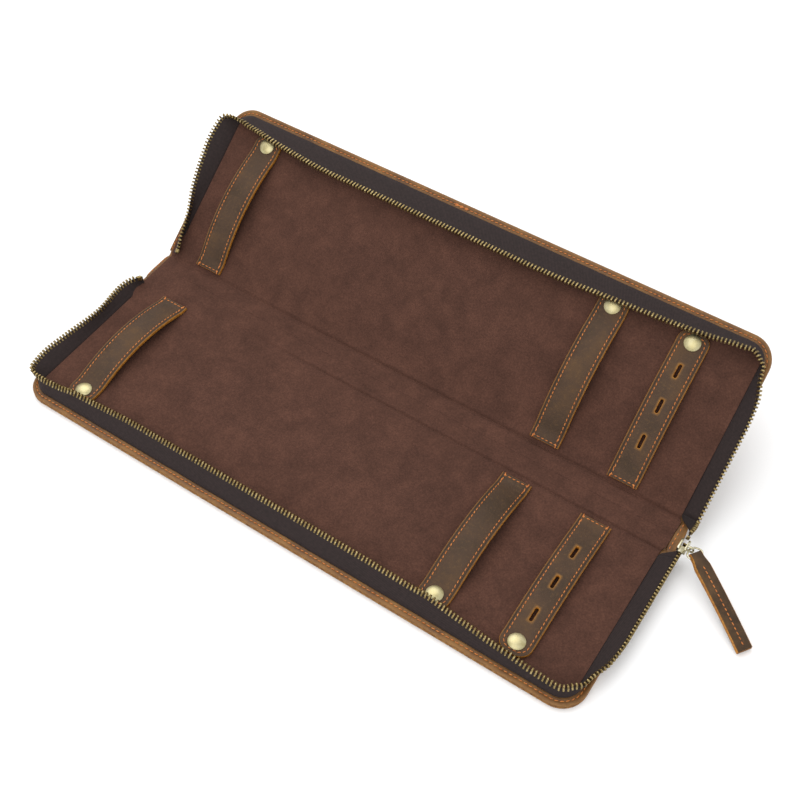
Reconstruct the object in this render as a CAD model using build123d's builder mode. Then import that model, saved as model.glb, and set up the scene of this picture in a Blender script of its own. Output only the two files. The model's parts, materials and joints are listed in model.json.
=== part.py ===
from build123d import *
import math
import os

# Zipped leather tie case, opened out: the front half and the spine lie flat, and the
# back half leans up at the fold. Both halves are made lying flat, with X along the case,
# Y running out from the half's fold line and Z up through the half, and are then placed.

os.makedirs("parts", exist_ok=True)

# Case
case_length = 400.0
half_width = 118.0
spine_width = 27.0
lid_tilt = 35.5
corner_radius = 16.0

# Layers, from the outside in
cover_thickness = 2.0
board_thickness = 1.2
lining_thickness = 0.8
rim_width = 6.0
rim_thickness = 1.2
layer_clearance = 0.15
fold_clearance = 0.15
spine_lining_inset = 4.6

# Zip tape, which stands round three sides of a half
tape_thickness = 0.7
tape_margin = 5.0
tape_foot = 2.6
wall_lean = 10.5
tail_length = 6.0
tail_height = 2.2
tail_overlap = 3.0

# Lean of the tape's top edge out of the seam, as a share of wall_lean, less by the straps'
# tips than between them. A station counts
# the runs of the seam: 0 to 1 is the right end, 1 to 2 its corner, 2 to 3 the long side,
# 3 to 4 the left corner and 4 to 5 the left end.
seam_runs = 5
long_lean_share = 0.95
strap_lean_share = 0.67
lean_shares = (
    (0.0, 1.0), (0.62, 1.0), (0.8, 0.84), (0.95, 0.38), (1.3, -0.1), (2.0, -0.25),
    (2.12, -0.45), (2.2, -strap_lean_share), (2.27, -strap_lean_share), (2.4, -long_lean_share),
    (2.8, -long_lean_share), (2.91, -strap_lean_share), (2.96, -0.6), (3.05, -0.45), (3.5, -0.25),
    (4.0, 0.8), (4.12, 1.0), (4.3, 0.95), (4.5, 0.72), (4.7, 0.5), (5.0, 0.1),
)
row_steps = 40
end_steps = 9
corner_steps = 6
long_steps = 26

# Zip teeth and slider
tooth_spacing = 2.4
tooth_length = 1.3
tooth_width = 2.2
tooth_height = 2.8
stop_length = 3.2
stop_gap = 0.6
slider_length = 11.0
slider_plate = 1.2
slider_clearance = 0.3
slider_lip = 0.8
slider_setback = 3.5
slider_edge_radius = 2.0
neck_length = 4.0
neck_thickness = 1.6
bail_width = 1.6
bail_height = 6.0
bail_opening = 2.6
link_wire = 1.4
link_length = 6.5
link_near_half = 1.8
link_shoulder = 1.0
link_corner = 1.2
link_play = 0.25

# Leather pull on the slider
pull_length = 57.2
pull_width = 9.4
pull_neck_width = 6.8
pull_neck_length = 3.4
pull_neck_taper = 6.0
pull_thickness = 3.0
pull_heading = -35.0
pull_tip_height = 0.4
pull_eye_wall = 1.3
pull_stiffness_rise = 1.5
pull_clearance = 0.6
eye_clearance = 0.1

# Straps
strap_width = 20.0
strap_thickness = 2.2
strap_clearance = 0.4
strap_end_length = 8.0
strap_hinge_gap = 0.1
strap_flat_length = 12.0
strap_tip_radius = 6.0
keeper_arch = 6.8
slotted_arch = 3.2
left_strap_inset = 35.0
slotted_strap_inset = 46.5
strap_spacing = 53.5
slit_length = 9.0
slit_width = 2.0
slit_spacing = 23.4
slit_count = 3

# Snap fasteners
snap_setback = 5.6
cap_radius = 5.2
cap_edge = 0.5
cap_crown = 1.1
post_radius = 1.5
post_clearance = 0.1
socket_radius = 4.0
socket_height = 1.5
socket_web = 0.4
stud_radius = 1.75
stud_clearance = 0.15
stud_base_radius = 3.6
stud_base_height = 0.7
stud_base_gap = 0.2
shank_radius = 1.2
shank_clearance = 0.05

overrun = 2.0

# Heights through a half, and the places that follow from them
board_bottom = cover_thickness
lining_bottom = board_bottom + board_thickness
lining_top = lining_bottom + lining_thickness
rim_bottom = cover_thickness + tape_thickness
rim_top = rim_bottom + rim_thickness
foot_top = cover_thickness + tape_foot
tape_start = lining_top + 2 * fold_clearance
row_gap = neck_thickness + 2 * slider_clearance
tooth_top = (spine_width - row_gap) / 2
tape_top = tooth_top - tooth_height
half_length = case_length / 2
seam_x = half_length - rim_width
seam_y = half_width - rim_width
seam_radius = corner_radius - rim_width
corner_x = half_length - corner_radius
corner_y = half_width - corner_radius
end_run = corner_y - tape_start
front_fold_y = half_width / 2
back_fold_y = front_fold_y + spine_width

# Straps run from their sewn ends to just inside the leaning zip row
strap_fold_gap = lining_top + strap_clearance
strap_hinge_y = strap_fold_gap + strap_end_length
strap_tip_y = seam_y - wall_lean * strap_lean_share - tooth_width / 2 - strap_clearance
snap_y = strap_tip_y - snap_setback
strap_seat = lining_top + stud_base_height + stud_base_gap + socket_height
strap_places = {
    "left_strap": -half_length + left_strap_inset,
    "right_strap": half_length - slotted_strap_inset - strap_spacing,
    "slotted_strap": half_length - slotted_strap_inset,
}
strap_arches = {
    "left_strap": keeper_arch,
    "right_strap": keeper_arch,
    "slotted_strap": slotted_arch,
}

# Where the halves stand once they are made
back_place = Location((0, back_fold_y, 0), (lid_tilt, 0, 0))
front_place = Location((0, front_fold_y, 0))


def write_halves(part, piece):
    back = back_place * part
    back.label = "back_" + piece
    export_step(back, f"parts/back_{piece}.step")
    front = front_place * mirror(part, about=Plane.XZ)
    front.label = "front_" + piece
    export_step(front, f"parts/front_{piece}.step")


def half_outline(inset, radius):
    # One half seen from above, straight at the fold and rounded at the outer corners
    with BuildSketch() as outline:
        with Locations((0, (half_width - inset) / 2)):
            Rectangle(case_length - 2 * inset, half_width - inset)
        fillet(outline.vertices().group_by(Axis.Y)[-1], radius)
    return outline.sketch


def fold_wedge():
    # What a layer gives up at its fold, so that two layers meet at 45 degrees when shut
    with BuildPart() as wedge:
        with BuildSketch(Plane.YZ):
            with BuildLine():
                Polyline(
                    (fold_clearance - overrun, -overrun),
                    (fold_clearance + lining_top + overrun, lining_top + overrun),
                    (-lining_top - overrun, lining_top + overrun),
                    (-lining_top - overrun, -overrun),
                    close=True,
                )
            make_face()
        extrude(amount=half_length + overrun, both=True)
    return wedge.part


def seam_at(station):
    # Point of the seam, and the direction out of the half there in degrees
    run = min(max(int(station), 0), seam_runs - 1)
    share = station - run
    if run == 0:
        return seam_x, tape_start + share * end_run, 0.0
    if run == 2:
        return corner_x * (1 - 2 * share), seam_y, 90.0
    if run == 4:
        return -seam_x, corner_y - share * end_run, 180.0
    outward = 90.0 * share + (90.0 if run == 3 else 0.0)
    side = -corner_x if run == 3 else corner_x
    turn = math.radians(outward)
    return side + seam_radius * math.cos(turn), corner_y + seam_radius * math.sin(turn), outward


def knot_slope(knot):
    # Slope of the lean at a knot of the table, none at its ends, on the level or at a turn
    if knot in (0, len(lean_shares) - 1):
        return 0.0
    rates = []
    for (low, low_share), (high, high_share) in zip(lean_shares[knot - 1 :], lean_shares[knot : knot + 2]):
        rates.append((high_share - low_share) / (high - low))
    before, after = rates
    return 2 * before * after / (before + after) if before * after > 0 else 0.0


def lean_at(station):
    # Smooth curve through the table of leans
    if station <= lean_shares[0][0]:
        return wall_lean * lean_shares[0][1]
    for knot, ((low, low_share), (high, high_share)) in enumerate(zip(lean_shares, lean_shares[1:])):
        if station <= high:
            run = high - low
            along = (station - low) / run
            left = 1 - along
            share = low_share * left**2 * (1 + 2 * along) + high_share * along**2 * (1 + 2 * left)
            share += run * along * left * (knot_slope(knot) * left - knot_slope(knot + 1) * along)
            return wall_lean * share
    return wall_lean * lean_shares[-1][1]


def row_at(station):
    # Place of the zip row over the tape's top edge
    x, y, outward = seam_at(station)
    turn = math.radians(outward)
    lean = lean_at(station)
    return x + lean * math.cos(turn), y + lean * math.sin(turn), outward


def tape_stations():
    counts = (end_steps, corner_steps, long_steps, corner_steps, end_steps)
    stations = [run + step / count for run, count in enumerate(counts) for step in range(count)]
    return stations + [seam_runs]


def row_stations():
    # Even steps along the leaning row, from the tail at the slider to the far end
    stations = [-(tail_length + tape_start) / end_run]
    stations += [step / row_steps for step in range(seam_runs * row_steps + 1)]
    points = [Vector(*row_at(station)[:2]) for station in stations]
    reach = [0.0]
    for before, after in zip(points, points[1:]):
        reach.append(reach[-1] + (after - before).length)
    usable = reach[-1] - stop_length - stop_gap - tooth_length
    placed = []
    index = 0
    for tooth in range(int(usable / tooth_spacing) + 1):
        distance = tooth * tooth_spacing + tooth_length / 2
        while reach[index + 1] < distance:
            index += 1
        share = (distance - reach[index]) / (reach[index + 1] - reach[index])
        placed.append(stations[index] + share * (stations[index + 1] - stations[index]))
    return placed


def tape_section(station):
    # The tape's flat margin under the rim, its foot at the seam and its leaning wall
    lean = lean_at(station)
    rise = tape_top - foot_top
    slope = math.hypot(lean, rise)
    across = tape_thickness / 2
    bend = -(lean / slope) / (1 + rise / slope)
    top_half = across * slope / rise
    return (
        (tape_margin, cover_thickness),
        (tape_margin, rim_bottom),
        (across, rim_bottom),
        (across, foot_top + across * bend),
        (lean + top_half, tape_top),
        (lean - top_half, tape_top),
        (-across, foot_top - across * bend),
        (-across, cover_thickness),
    )


# Layers of a half
with BuildPart() as cover:
    add(half_outline(0, corner_radius))
    extrude(amount=cover_thickness)
    add(fold_wedge(), mode=Mode.SUBTRACT)
write_halves(cover.part, "cover")

inner_inset = rim_width + tape_thickness / 2 + layer_clearance
inner_radius = corner_radius - inner_inset
snap_points = [(x, snap_y) for x in strap_places.values()]

with BuildPart() as board:
    with BuildSketch(Plane.XY.offset(board_bottom)):
        add(half_outline(inner_inset, inner_radius))
        with Locations(*snap_points):
            Circle(shank_radius + shank_clearance, mode=Mode.SUBTRACT)
    extrude(amount=board_thickness)
    add(fold_wedge(), mode=Mode.SUBTRACT)
write_halves(board.part, "board")

with BuildPart() as lining:
    with BuildSketch(Plane.XY.offset(lining_bottom)):
        add(half_outline(inner_inset, inner_radius))
        with Locations(*snap_points):
            Circle(shank_radius + shank_clearance, mode=Mode.SUBTRACT)
    extrude(amount=lining_thickness)
    add(fold_wedge(), mode=Mode.SUBTRACT)
write_halves(lining.part, "lining")

rim_inset = rim_width - tape_thickness / 2
with BuildPart() as rim:
    with BuildSketch(Plane.XY.offset(rim_bottom)):
        add(half_outline(0, corner_radius))
        add(half_outline(rim_inset, corner_radius - rim_inset), mode=Mode.SUBTRACT)
    extrude(amount=rim_thickness)
    add(fold_wedge(), mode=Mode.SUBTRACT)
write_halves(rim.part, "rim")

# Zip tape and teeth of a half
with BuildPart() as zip_tape:
    for station in tape_stations():
        x, y, outward = seam_at(station)
        turn = math.radians(outward)
        section_plane = Plane(
            origin=(x, y, 0),
            x_dir=(math.cos(turn), math.sin(turn), 0),
            z_dir=(math.sin(turn), -math.cos(turn), 0),
        )
        with BuildSketch(section_plane):
            with BuildLine():
                Polyline(*tape_section(station), close=True)
            make_face()
    loft(ruled=True)
    tail_span = tail_length + tape_start + tail_overlap
    with Locations((seam_x + wall_lean, tape_start + tail_overlap - tail_span / 2, tape_top)):
        Box(tape_thickness, tail_span, tail_height, align=(Align.CENTER, Align.CENTER, Align.MAX))
write_halves(zip_tape.part, "zip_tape")

tooth_places = []
for station in row_stations():
    x, y, outward = row_at(station)
    tooth_places.append(Location((x, y, tape_top), (0, 0, outward)))
with BuildPart() as zip_teeth:
    with Locations(*tooth_places):
        Box(tooth_width, tooth_length, tooth_height, align=(Align.CENTER, Align.CENTER, Align.MIN))
write_halves(zip_teeth.part, "zip_teeth")

stop_x, stop_y, stop_turn = row_at(seam_runs)
with BuildPart() as zip_stop:
    with Locations(Location((stop_x, stop_y, tape_top), (0, 0, stop_turn))):
        Box(tooth_width, stop_length, tooth_height, align=(Align.CENTER, Align.MAX, Align.MIN))
write_halves(zip_stop.part, "zip_stop")

# Spine, which lies between the two fold lines, with a leather facing over each of its ends
spine_inside = half_length - spine_lining_inset
spine_layers = {
    "cover": (0.0, cover_thickness, 0.0, half_length),
    "board": (board_bottom, board_thickness, 0.0, spine_inside),
    "lining": (lining_bottom, lining_thickness, 0.0, spine_inside),
    "facings": (cover_thickness, rim_thickness, spine_inside + layer_clearance, half_length),
}
for layer, (bottom, thickness, inner_reach, outer_reach) in spine_layers.items():
    with BuildPart() as spine:
        near = fold_clearance + bottom
        far = near + thickness
        with BuildSketch(Plane.YZ.offset(inner_reach)):
            with BuildLine():
                Polyline(
                    (front_fold_y + near, bottom),
                    (back_fold_y - near, bottom),
                    (back_fold_y - far, bottom + thickness),
                    (front_fold_y + far, bottom + thickness),
                    close=True,
                )
            make_face()
        extrude(amount=outer_reach - inner_reach)
        mirror(about=Plane.YZ)
    spine.part.label = "spine_" + layer
    export_step(spine.part, f"parts/spine_{layer}.step")

# Sewn ends of the straps, one group on each half
with BuildPart() as strap_ends:
    with Locations(*[(x, strap_fold_gap, lining_top) for x in strap_places.values()]):
        Box(strap_width, strap_end_length, strap_thickness, align=(Align.CENTER, Align.MIN, Align.MIN))
write_halves(strap_ends.part, "strap_ends")

# Straps, each with its snap cap and socket
cap_seat = strap_seat + strap_thickness
crown_top = cap_seat + cap_edge + cap_crown
crown_ball = (cap_radius**2 + cap_crown**2) / (2 * cap_crown)
crown_drop = crown_ball - math.sqrt(crown_ball**2 - (cap_radius / 2) ** 2)
for strap_name, strap_x in strap_places.items():
    arch_y = (strap_hinge_y + snap_y) / 2
    arch_base = lining_top + strap_arches[strap_name]
    flat_y = strap_tip_y - strap_flat_length
    start_y = strap_hinge_y + strap_hinge_gap
    start_z = lining_top + strap_hinge_gap
    with BuildPart() as strap:
        with BuildSketch(Plane.YZ.offset(strap_x)):
            with BuildLine():
                ThreePointArc((start_y, start_z), (arch_y, arch_base), (flat_y, strap_seat))
                Polyline(
                    (flat_y, strap_seat),
                    (strap_tip_y, strap_seat),
                    (strap_tip_y, strap_seat + strap_thickness),
                    (flat_y, strap_seat + strap_thickness),
                )
                ThreePointArc(
                    (flat_y, strap_seat + strap_thickness),
                    (arch_y, arch_base + strap_thickness),
                    (start_y, start_z + strap_thickness),
                )
                Line((start_y, start_z + strap_thickness), (start_y, start_z))
            make_face()
        extrude(amount=strap_width / 2, both=True)
        fillet(strap.edges().filter_by(Axis.Z).group_by(Axis.Y)[-1], strap_tip_radius)
        with BuildSketch(Plane.XY.offset(lining_top)):
            with Locations((strap_x, snap_y)):
                Circle(post_radius + post_clearance)
            if strap_name == "slotted_strap":
                with Locations((strap_x, arch_y)):
                    with GridLocations(0, slit_spacing, 1, slit_count):
                        SlotOverall(slit_length, slit_width, rotation=90)
        extrude(amount=tooth_top, mode=Mode.SUBTRACT)
    write_halves(strap.part, strap_name)

    with BuildPart() as cap:
        with BuildSketch(Plane.XZ.offset(-snap_y)):
            with BuildLine():
                Polyline(
                    (strap_x, strap_seat),
                    (strap_x + post_radius, strap_seat),
                    (strap_x + post_radius, cap_seat),
                    (strap_x + cap_radius, cap_seat),
                    (strap_x + cap_radius, cap_seat + cap_edge),
                )
                ThreePointArc(
                    (strap_x + cap_radius, cap_seat + cap_edge),
                    (strap_x + cap_radius / 2, crown_top - crown_drop),
                    (strap_x, crown_top),
                )
                Line((strap_x, crown_top), (strap_x, strap_seat))
            make_face()
        revolve(axis=Axis((strap_x, snap_y, 0), (0, 0, 1)))
    write_halves(cap.part, strap_name + "_cap")

    with BuildPart() as socket:
        with Locations((strap_x, snap_y, strap_seat)):
            Cylinder(socket_radius, socket_height, align=(Align.CENTER, Align.CENTER, Align.MAX))
        with Locations((strap_x, snap_y, strap_seat - socket_web)):
            Cylinder(
                stud_radius + stud_clearance,
                socket_height,
                align=(Align.CENTER, Align.CENTER, Align.MAX),
                mode=Mode.SUBTRACT,
            )
    write_halves(socket.part, strap_name + "_socket")

# Snap studs, riveted through the lining and the board
stud_height = stud_base_gap + socket_height - socket_web - stud_clearance
with BuildPart() as studs:
    with Locations(*[(x, y, lining_top) for x, y in snap_points]):
        Cylinder(stud_base_radius, stud_base_height, align=(Align.CENTER, Align.CENTER, Align.MIN))
        Cylinder(
            stud_radius,
            stud_base_height + stud_height,
            align=(Align.CENTER, Align.CENTER, Align.MIN),
        )
        Cylinder(
            shank_radius,
            lining_top - board_bottom,
            align=(Align.CENTER, Align.CENTER, Align.MAX),
        )
write_halves(studs.part, "snap_studs")

# Zip slider, at the spine end of the front half's right row
row_x = seam_x + wall_lean
slider_y = front_fold_y + slider_setback
slider_z = spine_width / 2
channel = tooth_width / 2 + slider_clearance
inner_half = slider_z - tape_top - tape_thickness
outer_half = slider_z - tape_top + slider_lip
plate_x = row_x + channel + slider_plate
bail_x = plate_x + bail_opening + bail_width / 2
with BuildPart() as slider:
    with Locations((row_x + channel, slider_y, slider_z)):
        Box(slider_plate, slider_length, 2 * outer_half, align=(Align.MIN, Align.CENTER, Align.CENTER))
    with Locations((row_x - channel, slider_y, slider_z)):
        Box(slider_plate, slider_length, 2 * inner_half, align=(Align.MAX, Align.CENTER, Align.CENTER))
    fillet(slider.edges().filter_by(Axis.X), slider_edge_radius)
    with Locations((row_x, slider_y - slider_length / 2, slider_z)):
        Box(2 * channel, neck_length, neck_thickness, align=(Align.CENTER, Align.MIN, Align.CENTER))
    with Locations((bail_x, slider_y, slider_z)):
        Cylinder(bail_width / 2, bail_height)
    foot_z = (bail_height - bail_width) / 2
    with Locations((plate_x, slider_y, slider_z - foot_z), (plate_x, slider_y, slider_z + foot_z)):
        Box(bail_x - plate_x, bail_width, bail_width, align=(Align.MIN, Align.CENTER, Align.CENTER))
slider.part.label = "zip_slider"
export_step(slider.part, "parts/zip_slider.step")

# Pull link, a wire frame round the bail's bar
heading = math.radians(pull_heading)
pull_x_dir = (math.cos(heading), math.sin(heading), 0)
link_plane = Plane(origin=(bail_x, slider_y, slider_z), x_dir=pull_x_dir, z_dir=(0, 0, 1))
near_bar = -(bail_width + link_wire) / 2 - link_play
far_bar = near_bar + link_length - link_wire
link_half = (pull_neck_width + link_wire) / 2 + pull_clearance
with BuildPart() as pull_link:
    with BuildLine(link_plane) as link_path:
        FilletPolyline(
            (near_bar, -link_near_half),
            (link_shoulder, -link_half),
            (far_bar, -link_half),
            (far_bar, link_half),
            (link_shoulder, link_half),
            (near_bar, link_near_half),
            radius=link_corner,
            close=True,
        )
    with BuildSketch(Plane(origin=link_path.line @ 0, z_dir=link_path.line % 0)):
        Circle(link_wire / 2)
    sweep()
pull_link.part.label = "pull_link"
export_step(pull_link.part, "parts/pull_link.step")

# Leather pull, folded over the link's far bar, where it is narrower, and drooping to the surface
pull_plane = Plane(
    origin=(bail_x, slider_y, slider_z),
    x_dir=pull_x_dir,
    z_dir=(math.sin(heading), -math.cos(heading), 0),
)
eye_radius = link_wire / 2 + pull_eye_wall
tip_bottom = pull_tip_height - slider_z
middle = far_bar + pull_length / 2
droop = (tip_bottom - eye_radius) / 2 + pull_stiffness_rise
with BuildPart() as pull_tab:
    with BuildSketch(pull_plane):
        with BuildLine():
            ThreePointArc(
                (far_bar, -eye_radius),
                (middle, droop),
                (far_bar + pull_length, tip_bottom),
            )
            Line((far_bar + pull_length, tip_bottom), (far_bar + pull_length, tip_bottom + pull_thickness))
            ThreePointArc(
                (far_bar + pull_length, tip_bottom + pull_thickness),
                (middle, droop + pull_thickness),
                (far_bar, eye_radius),
            )
            Line((far_bar, eye_radius), (far_bar, -eye_radius))
        make_face()
        with Locations((far_bar, 0)):
            Circle(eye_radius)
            Circle(link_wire / 2 + eye_clearance, mode=Mode.SUBTRACT)
    extrude(amount=pull_width / 2, both=True)
    with BuildSketch(link_plane):
        with BuildLine():
            Polyline(
                (far_bar - pull_width, pull_neck_width / 2),
                (far_bar + pull_neck_length, pull_neck_width / 2),
                (far_bar + pull_neck_length + pull_neck_taper, pull_width / 2),
                (far_bar + pull_neck_length + pull_neck_taper, pull_width / 2 + overrun),
                (far_bar - pull_width, pull_width / 2 + overrun),
                close=True,
            )
        make_face()
        mirror(about=Plane.XZ)
    extrude(amount=spine_width, both=True, mode=Mode.SUBTRACT)
pull_tab.part.label = "pull_tab"
export_step(pull_tab.part, "parts/pull_tab.step")
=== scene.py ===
import bmesh
import bpy
import json
import math
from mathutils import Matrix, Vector, noise


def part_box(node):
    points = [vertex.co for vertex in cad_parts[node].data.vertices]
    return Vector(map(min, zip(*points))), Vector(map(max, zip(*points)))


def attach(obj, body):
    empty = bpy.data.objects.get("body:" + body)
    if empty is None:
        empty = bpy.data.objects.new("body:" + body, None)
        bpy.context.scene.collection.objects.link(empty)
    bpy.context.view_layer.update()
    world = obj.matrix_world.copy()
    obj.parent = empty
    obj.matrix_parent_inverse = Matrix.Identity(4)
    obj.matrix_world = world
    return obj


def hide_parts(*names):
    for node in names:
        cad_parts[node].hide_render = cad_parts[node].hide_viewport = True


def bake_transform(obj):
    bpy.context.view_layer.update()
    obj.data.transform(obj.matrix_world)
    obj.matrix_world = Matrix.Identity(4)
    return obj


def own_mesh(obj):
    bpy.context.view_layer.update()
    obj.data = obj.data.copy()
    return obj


# Zipped leather tie case, lying open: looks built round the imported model
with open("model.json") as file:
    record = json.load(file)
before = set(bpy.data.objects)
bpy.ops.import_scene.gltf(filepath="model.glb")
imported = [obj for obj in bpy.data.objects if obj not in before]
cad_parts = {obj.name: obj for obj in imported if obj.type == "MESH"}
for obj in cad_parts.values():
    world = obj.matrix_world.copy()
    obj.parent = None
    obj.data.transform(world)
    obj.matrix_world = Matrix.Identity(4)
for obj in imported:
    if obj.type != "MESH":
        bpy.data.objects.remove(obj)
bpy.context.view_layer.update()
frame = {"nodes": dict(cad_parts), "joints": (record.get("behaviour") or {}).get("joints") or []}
mm = 0.001  # shapes are worked out in millimetres and placed in metres

joints = {joint["name"]: joint for joint in frame["joints"]}
frontFold = joints["spine_fold"]["pos_m"][1] / mm
backFold = joints["lid_fold"]["pos_m"][1] / mm
lidTilt = math.radians(joints["lid_fold"]["range_deg"][1])
spineWidth = backFold - frontFold


def span(node, axis):
    low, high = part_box(node)
    return low[axis] / mm, high[axis] / mm


caseEnd = span("front_cover", 0)[1]
halfWidth = frontFold - span("front_cover", 1)[0]
coverTop = span("front_cover", 2)[1]
liningBottom, liningTop = span("front_lining", 2)
liningEnd = span("front_lining", 0)[1]
liningWidth = frontFold - span("front_lining", 1)[0]
spineLiningEnd = span("spine_lining", 0)[1]
rimBottom, rimTop = span("front_rim", 2)
tapeTop, toothTop = span("front_zip_teeth", 2)
strapPlaces = {
    name: sum(span("front_" + name, 0)) / 2 for name in ("left_strap", "right_strap", "slotted_strap")
}
foldReach = 4.5  # half the width over which leather and lining bend at a fold


def ease(share):
    share = min(max(share, 0.0), 1.0)
    return share * share * (3 - 2 * share)


def seat(half, point, soft=False):
    # A half's own point (along, out from its fold, up through it) in the row frame
    along, out, up = point
    if half == "front":
        return Vector((along, frontFold - out, up)) * mm
    turn = lidTilt * (ease((out + foldReach) / (2 * foldReach)) if soft else 1)
    level = out * math.cos(turn) - up * math.sin(turn)
    return Vector((along, backFold + level, out * math.sin(turn) + up * math.cos(turn))) * mm


def seatUp(half, direction=(0, 0, 1)):
    return (seat(half, direction) - seat(half, (0, 0, 0))).normalized()


print("frame: fold lines at", round(frontFold, 2), round(backFold, 2), "mm, lid at",
      round(math.degrees(lidTilt), 1))


# Materials

def hexColour(code):
    parts = [int(code[i:i + 2], 16) / 255 for i in (1, 3, 5)]
    linear = [p / 12.92 if p <= 0.04045 else ((p + 0.055) / 1.055) ** 2.4 for p in parts]
    return (*linear, 1.0)


def plug(tree, node, links):
    # Gives each named input of a node its socket or its plain value
    for key, value in links.items():
        if isinstance(value, bpy.types.NodeSocket):
            tree.links.new(value, node.inputs[key])
        else:
            node.inputs[key].default_value = value


def addNode(tree, kind, settings=None, links=None):
    node = tree.nodes.new(kind)
    for name, value in (settings or {}).items():
        setattr(node, name, value)
    plug(tree, node, links or {})
    return node


def newMaterial(name):
    material = bpy.data.materials.new(name)
    material.use_nodes = True
    tree = material.node_tree
    return material, tree, tree.nodes["Principled BSDF"]


def texture(tree, kind, width, links):
    # Texture on Object coordinates, with features this many millimetres wide
    place = addNode(tree, "ShaderNodeTexCoord").outputs["Object"]
    return addNode(tree, kind, {}, {"Vector": place, "Scale": 1 / (width * mm), **links})


def noiseOf(tree, width, detail, roughness, distortion=0.0):
    return texture(tree, "ShaderNodeTexNoise", width, {
        "Detail": detail, "Roughness": roughness, "Distortion": distortion}).outputs["Fac"]


def toneOf(tree, factor, stops):
    node = addNode(tree, "ShaderNodeValToRGB", {}, {0: factor})
    ramp = node.color_ramp
    while len(ramp.elements) < len(stops):
        ramp.elements.new(1.0)
    for element, (place, colour) in zip(ramp.elements, stops):
        element.position = place
        element.color = hexColour(colour)
    return node.outputs["Color"]


def mapped(tree, value, low, high, least, most):
    return addNode(tree, "ShaderNodeMapRange", {}, {0: value, 1: low, 2: high, 3: least, 4: most}).outputs[0]


def mixed(tree, share, under, over):
    return addNode(tree, "ShaderNodeMix", {"data_type": "FLOAT"}, {0: share, 2: under, 3: over}).outputs[0]


def tinted(tree, share, under, tone):
    return addNode(tree, "ShaderNodeMix", {"data_type": "RGBA"}, {
        0: share, 6: under, 7: hexColour(tone)}).outputs[2]


def bumpOf(tree, strength, depth, height):
    return addNode(tree, "ShaderNodeBump", {}, {
        "Strength": strength, "Distance": depth * mm, "Height": height}).outputs["Normal"]


def marked(tree, name):
    # Amount that a piece's own vertices carry under this name
    return addNode(tree, "ShaderNodeAttribute", {"attribute_name": name}).outputs["Fac"]


def waxedCowhide(name, look):
    # Pull-up cowhide, waxed: cloudy light and dark patches, fine grain, lighter where it is rubbed
    material, tree, shader = newMaterial(name)
    clouds = noiseOf(tree, look["cloudWidth"], 5.0, 0.6)
    scuffs = noiseOf(tree, look["scuffWidth"], 6.0, 0.7)
    scuffing = mapped(tree, scuffs, 0.52, 0.8, 0.0, look["scuffing"])
    tone = tinted(tree, scuffing, toneOf(tree, clouds, look["tones"]), look["scuffTone"])
    ragged = addNode(tree, "ShaderNodeMath", {"operation": "MULTIPLY"}, {
        0: marked(tree, "rub"), 1: mapped(tree, scuffs, 0.3, 0.6, 0.35, 1.0)}).outputs[0]
    tone = tinted(tree, ragged, tone, look["rubTone"])
    grain = texture(tree, "ShaderNodeTexVoronoi", look["grainWidth"], {"Randomness": 1.0})
    pores = addNode(tree, "ShaderNodeMath", {"operation": "MULTIPLY_ADD"}, {
        0: scuffs, 1: 0.8, 2: grain.outputs["Distance"]}).outputs[0]
    # Darker along the line that the press attribute marks: on the straps, a thin line just inside each edge
    plug(tree, shader, {
        "Base Color": tinted(tree, marked(tree, "press"), tone, look["edgeLineTone"]),
        "Roughness": mapped(tree, clouds, 0.3, 0.7, look["roughness"] - 0.08, look["roughness"] + 0.1),
        "Normal": bumpOf(tree, 0.35, look["grainDepth"], pores),
        "Specular IOR Level": look["specular"]})
    return material


def rawLeatherEdge(name, look):
    # Cut and burnished edge of cowhide: amber fibres in layers along the cut
    material, tree, shader = newMaterial(name)
    fibres = noiseOf(tree, look["fibre"], 5.0, 0.65)
    plug(tree, shader, {
        "Base Color": toneOf(tree, fibres, look["tones"]), "Normal": bumpOf(tree, 0.4, look["depth"], fibres),
        "Roughness": 0.6, "Specular IOR Level": 0.3})
    return material


def suedeCloth(name, look):
    # Brushed microfibre suede: a soft nap that lies light and dark in slow patches, no gloss
    material, tree, shader = newMaterial(name)
    fibre = noiseOf(tree, look["fibreWidth"], 3.0, 0.75)
    both = mixed(tree, look["fibreShare"], noiseOf(tree, look["napWidth"], 4.0, 0.6, 0.4), fibre)
    plug(tree, shader, {
        "Base Color": toneOf(tree, both, look["tones"]), "Normal": bumpOf(tree, 0.5, look["pile"], fibre),
        "Roughness": 0.95, "Specular IOR Level": 0.12, "Sheen Weight": look["sheen"], "Sheen Roughness": 0.5,
        "Sheen Tint": hexColour("#c08d78")})
    return material


def wovenTape():
    # Dark polyester zip tape, woven in a fine twill: matt, with faint slanting ribs. The real yarn is
    # about 0.4 mm and would not show in the render, so the twill is drawn at 0.8 mm.
    look = {"twill": 0.8, "slant": 38, "mottle": 1.6, "depth": 0.1, "mottleShare": 0.7,
            "tones": ((0.2, "#1b1514"), (0.5, "#281f1e"), (0.8, "#362a29"))}
    material, tree, shader = newMaterial("wovenPolyesterTape")
    flat = addNode(tree, "ShaderNodeUVMap", {"uv_map": "flat"}).outputs["UV"]
    slanted = addNode(tree, "ShaderNodeMapping", {}, {
        "Vector": flat, "Rotation": (0, 0, math.radians(look["slant"]))}).outputs[0]
    bandWidth = math.pi / 10  # how far apart the bands of a wave texture of scale 1 lie
    twill = addNode(tree, "ShaderNodeTexWave", {"wave_type": "BANDS"}, {
        "Vector": slanted, "Scale": bandWidth / look["twill"], "Distortion": 1.2, "Detail": 2.0})
    weave = mixed(tree, look["mottleShare"], twill.outputs["Fac"], noiseOf(tree, look["mottle"], 5.0, 0.7))
    plug(tree, shader, {
        "Base Color": toneOf(tree, weave, look["tones"]), "Normal": bumpOf(tree, 0.4, look["depth"], weave),
        "Roughness": 0.8, "Specular IOR Level": 0.22, "Sheen Weight": 0.03})
    return material


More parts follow.
